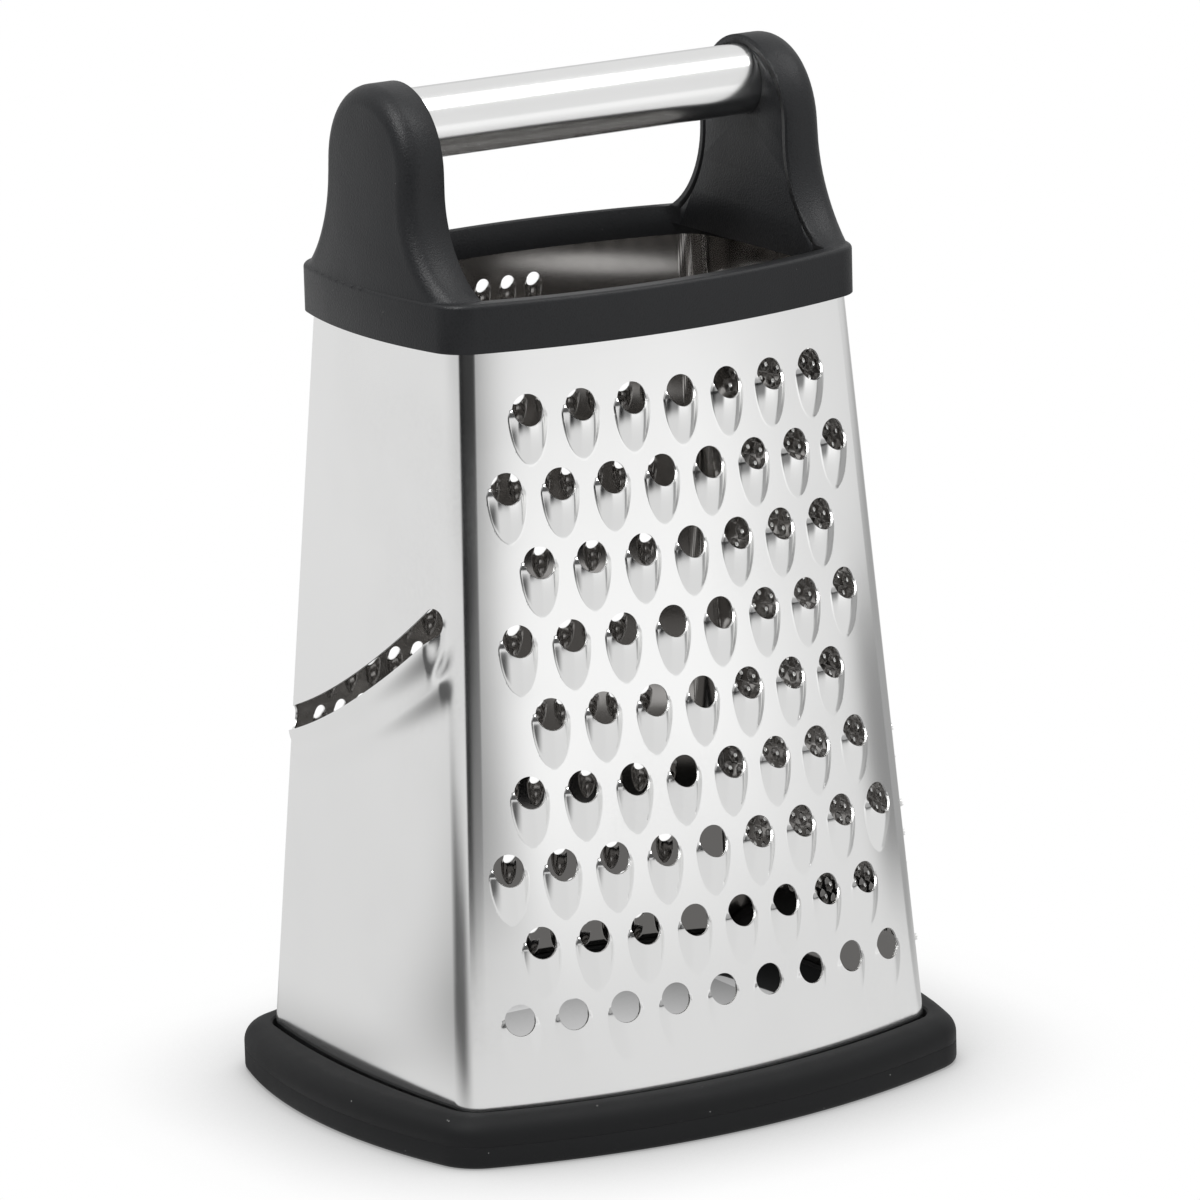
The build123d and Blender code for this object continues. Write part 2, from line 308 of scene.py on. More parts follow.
@dataclass(frozen=True)
class Finish:
    """The common start of every finish: a named material with one Principled shader."""

    name: str
    colour: Colour
    roughness: float

    def start(self) -> tuple[Material, NodeBook, Node, Socket]:
        """Makes the material.

        Returns:
            The material, a book for its nodes, its Principled node and its Object coordinates.
        """
        material = bpy.data.materials.new(self.name)
        material.use_nodes = True
        book = NodeBook(material.node_tree)
        shader = material.node_tree.nodes["Principled BSDF"]
        shader.inputs["Base Color"].default_value = (*self.colour, 1.0)
        shader.inputs["Roughness"].default_value = self.roughness
        material.diffuse_color = (*self.colour, 1.0)
        return material, book, shader, book.add("ShaderNodeTexCoord").outputs["Object"]

    def tinted(self, share: float) -> tuple[float, ...]:
        """The finish's colour, darker or paler by a share, with its alpha."""
        return tuple(share * channel for channel in self.colour) + (1.0,)

    @staticmethod
    def place_group(book: NodeBook, group: Tree, place: Socket, **values: float) -> Node:
        """Puts a shared group in a material.

        Args:
            book: the material's nodes.
            group: the shared group.
            place: the coordinates it follows.
            values: the group's own numbers, with underscores for spaces in their names.

        Returns:
            The group's node.
        """
        node = book.add("ShaderNodeGroup", node_tree=group)
        book.join(place, node.inputs["Place"])
        for key, value in values.items():
            node.inputs[key.replace("_", " ")].default_value = value
        return node

    def vary_roughness(self, book: NodeBook, shader: Node, grain: Node,
                       below: float, above: float) -> None:
        """Lets the roughness follow a grain's height.

        Args:
            book: the material's nodes.
            shader: its Principled node.
            grain: the grain's node.
            below: how far the roughness goes below the finish's own.
            above: how far it goes above it.
        """
        book.join(book.ramp(grain.outputs["Height"], 0.3, 0.7, self.roughness - below,
                            self.roughness + above), shader.inputs["Roughness"])

    @staticmethod
    def raise_bump(book: NodeBook, shader: Node, height: Socket, strength: float,
                   distance: float) -> None:
        """Feeds a height to the shader's normal through one Bump node.

        Args:
            book: the material's nodes.
            shader: its Principled node.
            height: the height.
            strength: how strongly it shows.
            distance: how high it stands.
        """
        bump = book.add("ShaderNodeBump")
        bump.inputs["Strength"].default_value = strength
        bump.inputs["Distance"].default_value = distance
        book.join(height, bump.inputs["Height"])
        book.join(bump.outputs["Normal"], shader.inputs["Normal"])


@dataclass(frozen=True)
class PolishedSteel(Finish):
    """Mirror-polished stainless sheet or tube: faint wiping marks and a slight unevenness."""

    marked_roughness: float
    unevenness: float = 0.02
    marked_tint: float = 0.97
    rolling_scale: float = 55.0

    def make(self, effects: SharedEffects) -> Material:
        """Builds the material.

        Args:
            effects: the shared groups.

        Returns:
            The material.
        """
        material, book, shader, place = self.start()
        shader.inputs["Metallic"].default_value = 1.0
        marks = self.place_group(book, effects.smudges, place, Scale=24.0, Streaks=1100.0)
        rough = book.ramp(marks.outputs["Mask"], 0.0, 1.0, self.roughness, self.marked_roughness)
        book.join(rough, shader.inputs["Roughness"])
        tint = book.blend(marks.outputs["Mask"], (*self.colour, 1.0), self.tinted(self.marked_tint))
        book.join(tint, shader.inputs["Base Color"])
        rolled = book.noise(place, self.rolling_scale, 1.0)
        self.raise_bump(book, shader, rolled, self.unevenness, 1.0 * MM)
        return material


@dataclass(frozen=True)
class CutSteel(Finish):
    """The sheared edge of the sheet: bright, with fine shear lines."""

    def make(self, effects: SharedEffects) -> Material:
        """Builds the material.

        Args:
            effects: the shared groups.

        Returns:
            The material.
        """
        material, book, shader, place = self.start()
        shader.inputs["Metallic"].default_value = 1.0
        grain = self.place_group(book, effects.grain, place, Scale=6000.0, Slow_Scale=700.0)
        self.vary_roughness(book, shader, grain, 0.0, 0.2)
        self.raise_bump(book, shader, grain.outputs["Height"], 0.3, 0.05 * MM)
        return material


@dataclass(frozen=True)
class Moulding(Finish):
    """Satin plastic or matt rubber: a fine moulded grain with a little pale dust on it.

    The grain has a fine and a slow scale, and its mask and tint say how it colours the surface. The
    specks have a scale, a size and a share. The last two are how far the roughness goes below and above
    the finish's own, and the bump's strength and distance.
    """

    gloss: float
    dust: Colour
    grain_scales: Pair
    grain_mask: str
    grain_tint: float
    specks: tuple[float, float, float]
    rougher: Pair
    bump: Pair

    def make(self, effects: SharedEffects) -> Material:
        """Builds the material.

        Args:
            effects: the shared groups.

        Returns:
            The material.
        """
        material, book, shader, place = self.start()
        shader.inputs["Specular IOR Level"].default_value = self.gloss
        fine, slow = self.grain_scales
        grain = self.place_group(book, effects.grain, place, Scale=fine, Slow_Scale=slow)
        scale, size, amount = self.specks
        specks = self.place_group(book, effects.specks, place, Scale=scale, Size=size, Amount=amount)
        grained = book.blend(grain.outputs[self.grain_mask], (*self.colour, 1.0),
                             self.tinted(self.grain_tint))
        dusted = book.blend(specks.outputs["Mask"], grained, (*self.dust, 1.0))
        book.join(dusted, shader.inputs["Base Color"])
        self.vary_roughness(book, shader, grain, *self.rougher)
        self.raise_bump(book, shader, grain.outputs["Height"], *self.bump)
        return material


@dataclass
class Finishes:
    """Every material of the grater, made once."""

    effects: SharedEffects = field(default_factory=SharedEffects)
    sheet: Material = field(init=False)
    inside: Material = field(init=False)
    cut_edge: Material = field(init=False)
    tube: Material = field(init=False)
    plastic: Material = field(init=False)
    rubber: Material = field(init=False)

    def __post_init__(self) -> None:
        """Makes the materials."""
        bright = (0.94, 0.94, 0.935)
        self.sheet = PolishedSteel("polished_sheet", bright, 0.13, 0.17).make(self.effects)
        # The sheets' inner faces get a darker copy of the polished steel. Its colour is painted shade
        # for the inside of the box, not a duller steel.
        shaded_inside_colour = (0.5, 0.485, 0.47)
        self.inside = PolishedSteel("sheet_inside", shaded_inside_colour, 0.08, 0.12, 0.0).make(self.effects)
        self.cut_edge = CutSteel("sheared_edge", (0.92, 0.92, 0.91), 0.2).make(self.effects)
        self.tube = PolishedSteel("polished_tube", bright, 0.18, 0.19, 0.0).make(self.effects)
        self.plastic = Moulding("satin_black_moulding", (0.0115, 0.012, 0.013), 0.42, gloss=0.32,
                                dust=(0.12, 0.12, 0.115), grain_scales=(2300.0, 90.0), grain_mask="Pits",
                                grain_tint=0.75, specks=(420.0, 0.055, 0.10), rougher=(0.05, 0.07),
                                bump=(0.7, 0.2 * MM)).make(self.effects)
        self.rubber = Moulding("matt_black_rubber", (0.006, 0.0062, 0.0065), 0.6, gloss=0.22,
                               dust=(0.2, 0.2, 0.19), grain_scales=(3400.0, 150.0), grain_mask="Height",
                               grain_tint=1.35, specks=(360.0, 0.07, 0.16), rougher=(0.06, 0.06),
                               bump=(0.4, 0.1 * MM)).make(self.effects)


def bow_radius(half_chord: Array, bow: Array) -> Array:
    """Radius of the arc that bows out that far over half a chord."""
    return (half_chord**2 + bow**2) / (2 * bow)


@dataclass(frozen=True)
class BodyTaper:
    """The steel body's outside at every height: a bowed rectangle with rolled corners."""

    low_z: float = 12.5 * MM
    high_z: float = 193.4 * MM
    width_low: float = 141.5 * MM
    width_high: float = 120.4 * MM
    depth_low: float = 118.6 * MM
    depth_high: float = 86.4 * MM
    front_bow_low: float = 10.1 * MM
    front_bow_high: float = 7.3 * MM
    side_bow: float = 3.3 * MM
    corner: float = 8.25 * MM

    def at(self, low: float, high: float, z: Array) -> Array:
        """A size at height z, carried straight on past the two measured heights."""
        return low + (high - low) * (z - self.low_z) / (self.high_z - self.low_z)

    def core(self, z: Array) -> tuple[Array, Array, Array]:
        """The figure that the corners are rolled around.

        Args:
            z: heights.

        Returns:
            Its half width, half depth and front bow.
        """
        half_width = self.at(self.width_low, self.width_high, z) / 2 - self.corner
        half_depth = self.at(self.depth_low, self.depth_high, z) / 2 - self.corner
        return half_width, half_depth, self.at(self.front_bow_low, self.front_bow_high, z)

    def wide_arc(self, z: Array) -> tuple[Array, Array, Array]:
        """The arc that a wide face is rolled around.

        Args:
            z: heights.

        Returns:
            Its radius and half angle, and the figure's half depth.
        """
        half_width, half_depth, bow = self.core(z)
        chord = half_width - self.side_bow
        radius = bow_radius(chord, bow)
        return radius, np.arcsin(chord / radius), half_depth

    def narrow_arc(self, z: Array) -> tuple[Array, Array, Array]:
        """The arc that a narrow face is rolled around.

        Args:
            z: heights.

        Returns:
            Its radius and half angle, and the figure's half width.
        """
        half_width, half_depth, bow = self.core(z)
        chord = half_depth - bow
        radius = bow_radius(chord, self.side_bow)
        return radius, np.arcsin(chord / radius), half_width

    def outline(self, z: float, roll: float, count: int) -> tuple[Array, Array]:
        """The section at one height, once round.

        Args:
            z: the height.
            roll: how far the outline stands off the outside.
            count: points on each side and on each corner.

        Returns:
            Points and outward directions, both flat, in order round the section.
        """
        half_width, half_depth, bow = self.core(z)
        return rolled_outline(half_width, half_depth, bow, self.side_bow, self.corner + roll, count)


def rolled_outline(half_width: float, half_depth: float, front_bow: float, side_bow: float,
                   roll: float, count: int) -> tuple[Array, Array]:
    """A rectangle with four bowed sides and its corners rolled by a radius, once round.

    Args:
        half_width: half the figure's width before the roll.
        half_depth: half its depth.
        front_bow: how far the wide sides bow out.
        side_bow: how far the narrow sides bow out.
        roll: the radius rolled around the figure.
        count: points on each side and on each corner.

    Returns:
        Points and outward directions, anticlockwise from the middle of the front side's left end.
    """
    corner_x, corner_y = half_width - side_bow, half_depth - front_bow
    wide_radius = bow_radius(corner_x, front_bow)
    narrow_radius = bow_radius(corner_y, side_bow)
    wide_angle = math.asin(corner_x / wide_radius)
    narrow_angle = math.asin(corner_y / narrow_radius)
    points, directions = [], []
    steps = np.linspace(0.0, 1.0, count, endpoint=False)
    quarter = math.pi / 2
    for turn in range(4):
        wide = turn % 2 == 0
        middle = turn * quarter - quarter
        half_angle = wide_angle if wide else narrow_angle
        radius = wide_radius if wide else narrow_radius
        away = (half_depth if wide else half_width) - radius
        axis = np.array([math.cos(middle), math.sin(middle)])
        angles = middle + half_angle * (2 * steps - 1)
        side = np.stack([np.cos(angles), np.sin(angles)], 1)
        points.append(away * axis + (radius + roll) * side)
        directions.append(side)
        start = middle + half_angle
        end = middle + quarter - (narrow_angle if wide else wide_angle)
        angles = start + (end - start) * steps
        side = np.stack([np.cos(angles), np.sin(angles)], 1)
        sign_x = 1 if turn in (0, 1) else -1
        sign_y = 1 if turn in (1, 2) else -1
        points.append(np.array([sign_x * corner_x, sign_y * corner_y]) + roll * side)
        directions.append(side)
    return np.concatenate(points), np.concatenate(directions)


def unit(vectors: Array) -> Array:
    """Rows scaled to length one."""
    return vectors / np.maximum(np.linalg.norm(vectors, axis=1, keepdims=True), 1e-12)


def new_object(name: str, data: bpy.types.ID) -> Piece:
    """Links a new object with that mesh, lamp or camera to the scene.

    Args:
        name: the object's name.
        data: its mesh, lamp or camera.

    Returns:
        The object.
    """
    made = bpy.data.objects.new(name, data)
    bpy.context.scene.collection.objects.link(made)
    return made


def applied(piece: Piece) -> bpy.types.Mesh:
    """The piece's mesh with its modifiers worked in, which are then removed.

    Args:
        piece: the object.

    Returns:
        The new mesh.
    """
    bpy.context.view_layer.update()
    graph = bpy.context.evaluated_depsgraph_get()
    mesh = bpy.data.meshes.new_from_object(piece.evaluated_get(graph))
    piece.modifiers.clear()
    return mesh


def settle(piece: Piece, node: str) -> None:
    """Puts a piece in place of its node on the grater's one body.

    Args:
        piece: the piece.
        node: the CAD node that it stands for.
    """
    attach(piece, "root")
    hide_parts(node)
    log.info("%s stands for %s: %d faces", piece.name, node, len(piece.data.polygons))


def mesh_from(name: str, points: Array, faces: Sequence[Sequence[int]],
              materials: Sequence[Material], choice: Array | None = None,
              corner_normals: Array | None = None) -> Piece:
    """Makes a smooth mesh object.

    Args:
        name: the piece's name.
        points: its points.
        faces: its faces as rows of point numbers.
        materials: its materials.
        choice: the material number of each face, when there is more than one.
        corner_normals: a normal for each face corner in turn, when they are known exactly.

    Returns:
        The linked object.
    """
    mesh = bpy.data.meshes.new(name)
    mesh.from_pydata([tuple(p) for p in points], [], [tuple(int(i) for i in f) for f in faces])
    for material in materials:
        mesh.materials.append(material)
    if choice is not None:
        mesh.polygons.foreach_set("material_index", np.asarray(choice, np.int32))
    mesh.polygons.foreach_set("use_smooth", np.ones(len(mesh.polygons), bool))
    mesh.update()
    if corner_normals is not None:
        mesh.normals_split_custom_set([tuple(n) for n in corner_normals])
    return new_object(name, mesh)


def ring_points(centre: Pair, radius: float, count: int, turn: float = 0.0) -> Array:
    """A closed ring of points around a centre, flat."""
    angles = turn + np.arange(count) * 2 * math.pi / count
    return np.stack([centre[0] + radius * np.cos(angles), centre[1] + radius * np.sin(angles)], 1)


def wrapped_faces(rows: int, count: int) -> list[tuple[int, int, int, int]]:
    """Faces of a grid of points that closes on itself both ways.

    Args:
        rows: how many rows of points there are.
        count: the points in each row.

    Returns:
        Each face as four point numbers.
    """
    faces = []
    for row in range(rows):
        following = (row + 1) % rows
        for step in range(count):
            beside = (step + 1) % count
            faces.append((row * count + step, row * count + beside,
                          following * count + beside, following * count + step))
    return faces


def grid_points(low: Pair, high: Pair, step: Pair) -> Array:
    """Points of a staggered grid that fills a rectangle.

    Args:
        low: the rectangle's lowest corner.
        high: its highest corner.
        step: the grid's pitch each way.

    Returns:
        The points.
    """
    rows = np.arange(low[1] + step[1] / 2, high[1], step[1])
    made = []
    for number, row in enumerate(rows):
        across = np.arange(low[0] + step[0] * (0.5 if number % 2 else 0.25), high[0], step[0])
        made.append(np.stack([across, np.full(len(across), row)], 1))
    return np.concatenate(made)


def inside_polygon(points: Array, polygon: Array) -> Array:
    """Which points lie inside a closed flat polygon.

    Args:
        points: flat points.
        polygon: the polygon's corners in order.

    Returns:
        True for each point that lies inside.
    """
    inside = np.zeros(len(points), bool)
    following = np.roll(polygon, -1, 0)
    for (ax, ay), (bx, by) in zip(polygon, following):
        crosses = (ay > points[:, 1]) != (by > points[:, 1])
        reach = ax + (points[:, 1] - ay) * (bx - ax) / (by - ay if by != ay else 1e-12)
        inside ^= crosses & (points[:, 0] < reach)
    return inside


@dataclass
class PressedSheet:
    """One steel face, drawn flat as distance across and height, then bent, pressed and thickened."""

    name: str
    taper: BodyTaper
    face: Face
    thickness: float = 0.5 * MM
    bottom_z: float = 2.8 * MM
    top_z: float = 201.2 * MM
    base_step: Pair = (2.6 * MM, 3.0 * MM)
    border_rows: int = 66
    border_clear: Pair = (0.4 * MM, 0.5 * MM)
    opening_near: float = 0.35 * MM
    opening_clear: float = 0.25 * MM
    tolerance: float = 1e-5
    slope_step: float = 0.02 * MM
    centres: Array = field(default_factory=lambda: np.zeros((0, 2)))
    hole_radius: float = 0.8 * MM
    hole_points: int = 10

    def reach(self, z: Array) -> Array:
        """Half the face's length across at each height."""
        raise NotImplementedError

    def plain(self, across: Array, z: Array) -> Array:
        """Points on the plain outside, before any pressing."""
        raise NotImplementedError

    def relief(self, across: Array, z: Array) -> Array:
        """How far each place is pressed out of the plain outside."""
        raise NotImplementedError

    def openings(self) -> list[Array]:
        """Closed outlines of everything that is punched out: round holes at the centres."""
        return [ring_points(tuple(c), self.hole_radius, self.hole_points) for c in self.centres]

    def detail(self) -> list[Array]:
        """Extra points where the relief turns quickly."""
        raise NotImplementedError

    def plain_normal(self, across: Array, z: Array) -> Array:
        """Outward directions of the plain outside."""
        return self._slope_normal(self.plain, across, z)

    def outside(self, across: Array, z: Array) -> Array:
        """Points on the pressed outside."""
        height = self.relief(across, z)[:, None]
        return self.plain(across, z) + height * self.plain_normal(across, z)

    def _slope_normal(self, surface: Callable[[Array, Array], Array], across: Array, z: Array) -> Array:
        """Outward directions of a surface, from small steps along it.

        Args:
            surface: gives points for distances across and heights.
            across: distances across the face.
            z: heights.

        Returns:
            A direction for each place.
        """
        step = self.slope_step
        along = surface(across + step, z) - surface(across - step, z)
        up = surface(across, z + step) - surface(across, z - step)
        normal = unit(np.cross(along, up))
        outward = (normal[:, :2] * surface(across, z)[:, :2]).sum(1)
        return normal * np.where(outward < 0, -1.0, 1.0)[:, None]

    def _border(self) -> Array:
        """The face's own outline, closed.

        Returns:
            Its flat points in order.
        """
        z = np.linspace(self.bottom_z, self.top_z, self.border_rows)
        reach = self.reach(z)
        right = np.stack([reach, z], 1)
        left = np.stack([-reach, z], 1)[::-1]
        low = self.reach(np.array([self.bottom_z]))[0]
        high = self.reach(np.array([self.top_z]))[0]
        count = int(2 * low / self.base_step[0])
        top = np.stack([np.linspace(high, -high, count)[1:-1], np.full(count - 2, self.top_z)], 1)
        foot = np.stack([np.linspace(-low, low, count)[1:-1], np.full(count - 2, self.bottom_z)], 1)
        return np.concatenate([right, top, left, foot])

    def base_points(self) -> Array:
        """The coarse filling of the whole face."""
        widest = float(self.reach(np.array([self.bottom_z]))[0])
        return grid_points((-widest, self.bottom_z), (widest, self.top_z), self.base_step)

    def _flat_mesh(self) -> tuple[Array, Array]:
        """Triangles that fill the face around its openings.

        Returns:
            Flat points and triangles.
        """
        loops = [self._border(), *self.openings()]
        extra = np.concatenate([self.base_points(), *self.detail()])
        side_clear, end_clear = self.border_clear
        keep = np.abs(extra[:, 0]) < self.reach(extra[:, 1]) - side_clear
        keep &= (extra[:, 1] > self.bottom_z + end_clear) & (extra[:, 1] < self.top_z - end_clear)
        for loop in loops[1:]:
            centre, far = loop.mean(0), np.abs(loop - loop.mean(0)).max(0) + self.opening_near
            near = (np.abs(extra - centre) < far).all(1) & keep
            grown = centre + (loop - centre) * (1 + self.opening_clear / far.min())
            keep[near] &= ~inside_polygon(extra[near], grown)
        extra = extra[keep]
        points, edges = [], []
        for loop in loops:
            start = sum(len(p) for p in points)
            edges += [(start + i, start + (i + 1) % len(loop)) for i in range(len(loop))]
            points.append(loop)
        flat = np.concatenate([*points, extra]) / MM
        out = delaunay_2d_cdt([Vector(p) for p in flat], edges, [], 0, self.tolerance, False)
        flat = np.array([tuple(v) for v in out[0]]) * MM
        triangles = np.array([f for f in out[2] if len(f) == 3])
        middle = flat[triangles].mean(1)
        good = np.abs(middle[:, 0]) < self.reach(middle[:, 1])
        for loop in loops[1:]:
            centre, far = loop.mean(0), np.abs(loop - loop.mean(0)).max(0)
            near = (np.abs(middle - centre) < far).all(1) & good
            good[near] &= ~inside_polygon(middle[near], loop)
        return flat, triangles[good]

    def build(self, finishes: Finishes) -> Piece:
        """Makes the sheet as a closed solid with its sheared edges.

        Args:
            finishes: the grater's materials.

        Returns:
            The linked object.
        """
        flat, triangles = self._flat_mesh()
        used, triangles = np.unique(triangles, return_inverse=True)
        triangles = triangles.reshape(-1, 3)
        across, z = flat[used].T
        outer = self.outside(across, z)
        normal = self._slope_normal(self.outside, across, z)
        inner = outer - normal * self.thickness
        a, b, c = (outer[triangles[:, i]] for i in range(3))
        facing = (np.cross(b - a, c - a) * normal[triangles].sum(1)).sum(1)
        triangles[facing < 0] = triangles[facing < 0][:, ::-1]
        count = len(outer)
        sides = np.concatenate([triangles[:, [0, 1]], triangles[:, [1, 2]], triangles[:, [2, 0]]])
        key = np.sort(sides, 1)
        _, first, times = np.unique(key, axis=0, return_index=True, return_counts=True)
        rim = sides[first[times == 1]]
        quads = np.stack([rim[:, 1], rim[:, 0], rim[:, 0] + count, rim[:, 1] + count], 1)
        away = unit(np.cross(outer[rim[:, 1]] - outer[rim[:, 0]], normal[rim].sum(1)))
        shared = np.zeros((count, 3))
        np.add.at(shared, rim[:, 0], away)
        np.add.at(shared, rim[:, 1], away)
        shared = unit(shared)
        corners = np.concatenate([normal[triangles].reshape(-1, 3),
                                  -normal[triangles[:, ::-1]].reshape(-1, 3),
                                  shared[quads % count].reshape(-1, 3)])
        faces = [*triangles.tolist(), *(triangles[:, ::-1] + count).tolist(), *quads.tolist()]
        choice = np.repeat([0, 1, 2], [len(triangles), len(triangles), len(quads)])
        # The inner faces take the inside finish, whose darker colour is painted shade.
        return mesh_from(self.name, np.concatenate([outer, inner]), faces,
                         [finishes.sheet, finishes.inside, finishes.cut_edge], choice, corners)


@dataclass
class WideSheet(PressedSheet):
    """A wide face, up to the tangent lines of the corner bends."""

    def reach(self, z: Array) -> Array:
        """Half the face's length across at each height."""
        radius, half_angle, _ = self.taper.wide_arc(z)
        return (radius + self.taper.corner) * half_angle

    def plain(self, across: Array, z: Array) -> Array:
        """Points on the plain outside, before any pressing.

        Args:
            across: distances across the face.
            z: heights.

        Returns:
            The points.
        """
        radius, _, half_depth = self.taper.wide_arc(z)
        outer = radius + self.taper.corner
        angle = across / outer
        y = self.face.value * (half_depth - radius + outer * np.cos(angle))
        return np.stack([outer * np.sin(angle), y, z], 1)


@dataclass
class NarrowSheet(PressedSheet):
    """A narrow face with its two corner bends."""

    bend_step: float = 0.9 * MM
    bend_row_step: float = 3.0 * MM

    def reach(self, z: Array) -> Array:
        """Half the face's length across at each height.

        Args:
            z: heights.

        Returns:
            The half lengths.
        """
        radius, half_angle, _ = self.taper.narrow_arc(z)
        _, wide_angle, _ = self.taper.wide_arc(z)
        turn = math.pi / 2 - wide_angle - half_angle
        return (radius + self.taper.corner) * half_angle + self.taper.corner * turn

    def plain(self, across: Array, z: Array) -> Array:
        """Points on the plain outside, before any pressing.

        Args:
            across: distances across the face.
            z: heights.

        Returns:
            The points.
        """
        corner = self.taper.corner
        radius, half_angle, half_width = self.taper.narrow_arc(z)
        outer = radius + corner
        straight = outer * half_angle
        angle = np.clip(across, -straight, straight) / outer
        bend = np.sign(across) * np.maximum(np.abs(across) - straight, 0.0) / corner
        x = half_width - radius + radius * np.cos(angle) + corner * np.cos(angle + bend)
        y = radius * np.sin(angle) + corner * np.sin(angle + bend)
        return np.stack([self.face.value * x, y, z], 1)

    def base_points(self) -> Array:
        """The coarse filling of the face, and a finer one over the bends.

        Returns:
            The flat points.
        """
        made = [super().base_points()]
        rows = np.arange(self.bottom_z + self.bend_row_step / 2, self.top_z - MM, self.bend_row_step)
        radius, half_angle, _ = self.taper.narrow_arc(rows)
        straight = (radius + self.taper.corner) * half_angle
        for z, start, end in zip(rows, straight, self.reach(rows)):
            line = np.arange(start, end - self.border_clear[0], self.bend_step)
            line = np.concatenate([line, -line])
            made.append(np.stack([line, np.full(len(line), z)], 1))
        return np.concatenate(made)


def staggered(counts: Sequence[int], pitch: Pair, first_z: float) -> Array:
    """Centres of staggered rows of punchings, as distance across the face and height."""
    return np.array([((column - (count - 1) / 2) * pitch[0], first_z - row * pitch[1])
                     for row, count in enumerate(counts) for column in range(count)])


def creased(value: Array, softness: float) -> Array:
    """Nothing where the value is below zero, then a short ease into the value itself."""
    past = value - softness
    return np.where(past > softness, past, np.maximum(value, 0.0) ** 2 / (4 * softness))


def eased(value: Array) -> Array:
    """A smooth step from 0 to 1."""
    value = np.clip(value, 0.0, 1.0)
    return value * value * (3 - 2 * value)


@dataclass
class ScoopedSheet(WideSheet):
    """A wide face whose round holes each have a raised cutting scoop below them."""

    hole_radius: float = 3.8 * MM
    hole_points: int = 40
    half_width: float = 4.9 * MM
    length: float = 13.3 * MM
    rise: float = 2.6 * MM
    roundness: float = 2.2
    fall: float = 2.0
    widest: float = 0.5
    narrowing: float = 1.9
    mouth_top: float = 1.0 * MM
    mouth_full: float = -0.4 * MM
    mouth_draw: float = 0.34
    shallow: float = 0.4
    shallow_z: Pair = (30.0 * MM, 65.0 * MM)
    blend: float = 0.2 * MM
    row_step: float = 0.7 * MM
    least_width: float = 0.02
    detail_width: float = 0.12
    across_steps: tuple[float, ...] = (0.0, 0.25, 0.48, 0.66, 0.79, 0.89, 0.96, 1.03, 1.13)

    def width_at(self, v: Array) -> Array:
        """Half width of the scoop's egg-shaped outline at each distance above its hole's centre.

        Args:
            v: distances above the hole's centre.

        Returns:
            The half widths.
        """
        shoulder = -self.widest * self.hole_radius
        down = np.clip((shoulder - v) / (self.length + shoulder), 0.0, 1.0)
        up = np.clip((v - shoulder) / (self.mouth_top - shoulder), 0.0, 1.0)
        below = np.sqrt(1 - down**self.narrowing)
        return self.half_width * np.maximum(below - self.mouth_draw * up**2, self.least_width)

    def ridge(self, v: Array) -> Array:
        """Height of the scoop's middle line: it grows beside the hole, then falls to its tip.

        Args:
            v: distances above the hole's centre.

        Returns:
            The heights.
        """
        down = np.clip((self.mouth_full - v) / (self.length + self.mouth_full), 0.0, 1.0)
        start = eased((self.mouth_top - v) / (self.mouth_top - self.mouth_full))
        return self.rise * (1 - down**self.fall) * start

    def scoop(self, u: Array, v: Array) -> Array:
        """Height of one scoop around its hole: a half egg that falls away from the cutting edge."""
        side = np.abs(u / self.width_at(v)) ** self.roundness
        return creased(self.ridge(v) * (1 - side), self.blend)

    def relief(self, across: Array, z: Array) -> Array:
        """How far each place is pressed out of the plain outside.

        Args:
            across: distances across the face.
            z: heights.

        Returns:
            The heights.
        """
        height = np.zeros(len(across))
        for centre_s, centre_z in self.centres:
            u, v = across - centre_s, z - centre_z
            near = (np.abs(u) < self.half_width) & (v < self.mouth_top) & (v > -self.length)
            low, high = self.shallow_z
            share = self.shallow + (1 - self.shallow) * float(eased((centre_z - low) / (high - low)))
            height[near] += share * self.scoop(u[near], v[near])
        return height

    def detail(self) -> list[Array]:
        """Rows of points across each scoop, closest where its flank meets the sheet, and a ring.

        Returns:
            The flat points in groups.
        """
        gap = 0.3 * self.row_step
        beside = np.arange(self.mouth_top + gap, -self.widest * self.hole_radius, -0.7 * self.row_step)
        below = np.arange(beside[-1] - self.row_step, -self.length - self.row_step, -self.row_step)
        rows = np.concatenate([beside, below])
        wide = np.maximum(self.width_at(rows), self.detail_width * self.half_width)
        steps = np.array([-f for f in self.across_steps[:0:-1]] + list(self.across_steps))
        patch = np.stack([np.outer(wide, steps).ravel(), np.repeat(rows, len(steps))], 1)
        patch = patch[np.hypot(*patch.T) > self.hole_radius + 0.5 * self.row_step]
        turn = math.pi / self.hole_points
        ring = ring_points((0.0, 0.0), self.hole_radius + gap, self.hole_points, turn)
        return [shape + centre for centre in self.centres for shape in (patch, ring)]


@dataclass
class ZestingSheet(NarrowSheet):
    """A narrow face whose small holes are pierced outwards, each with a raised rim."""

    rim_rise: float = 0.6 * MM
    rim_reach: float = 1.3 * MM
    rim_start: float = 0.6
    ring_gaps: tuple[float, ...] = (0.3 * MM, 0.7 * MM, 1.2 * MM)

    def relief(self, across: Array, z: Array) -> Array:
        """How far each place is pressed out of the plain outside.

        Args:
            across: distances across the face.
            z: heights.

        Returns:
            The heights.
        """
        height = np.zeros(len(across))
        for centre_s, centre_z in self.centres:
            away = np.hypot(across - centre_s, z - centre_z)
            near = away < 3 * self.hole_radius
            beyond = np.maximum(away[near] - self.rim_start * self.hole_radius, 0.0) / self.rim_reach
            height[near] += self.rim_rise * (1 - eased(beyond))
        return height

    def detail(self) -> list[Array]:
        """Rings around each hole.

        Returns:
            The flat points in groups.
        """
        turn = math.pi / self.hole_points
        return [ring_points(tuple(c), self.hole_radius + gap, self.hole_points, turn * number)
                for c in self.centres for number, gap in enumerate(self.ring_gaps, 1)]


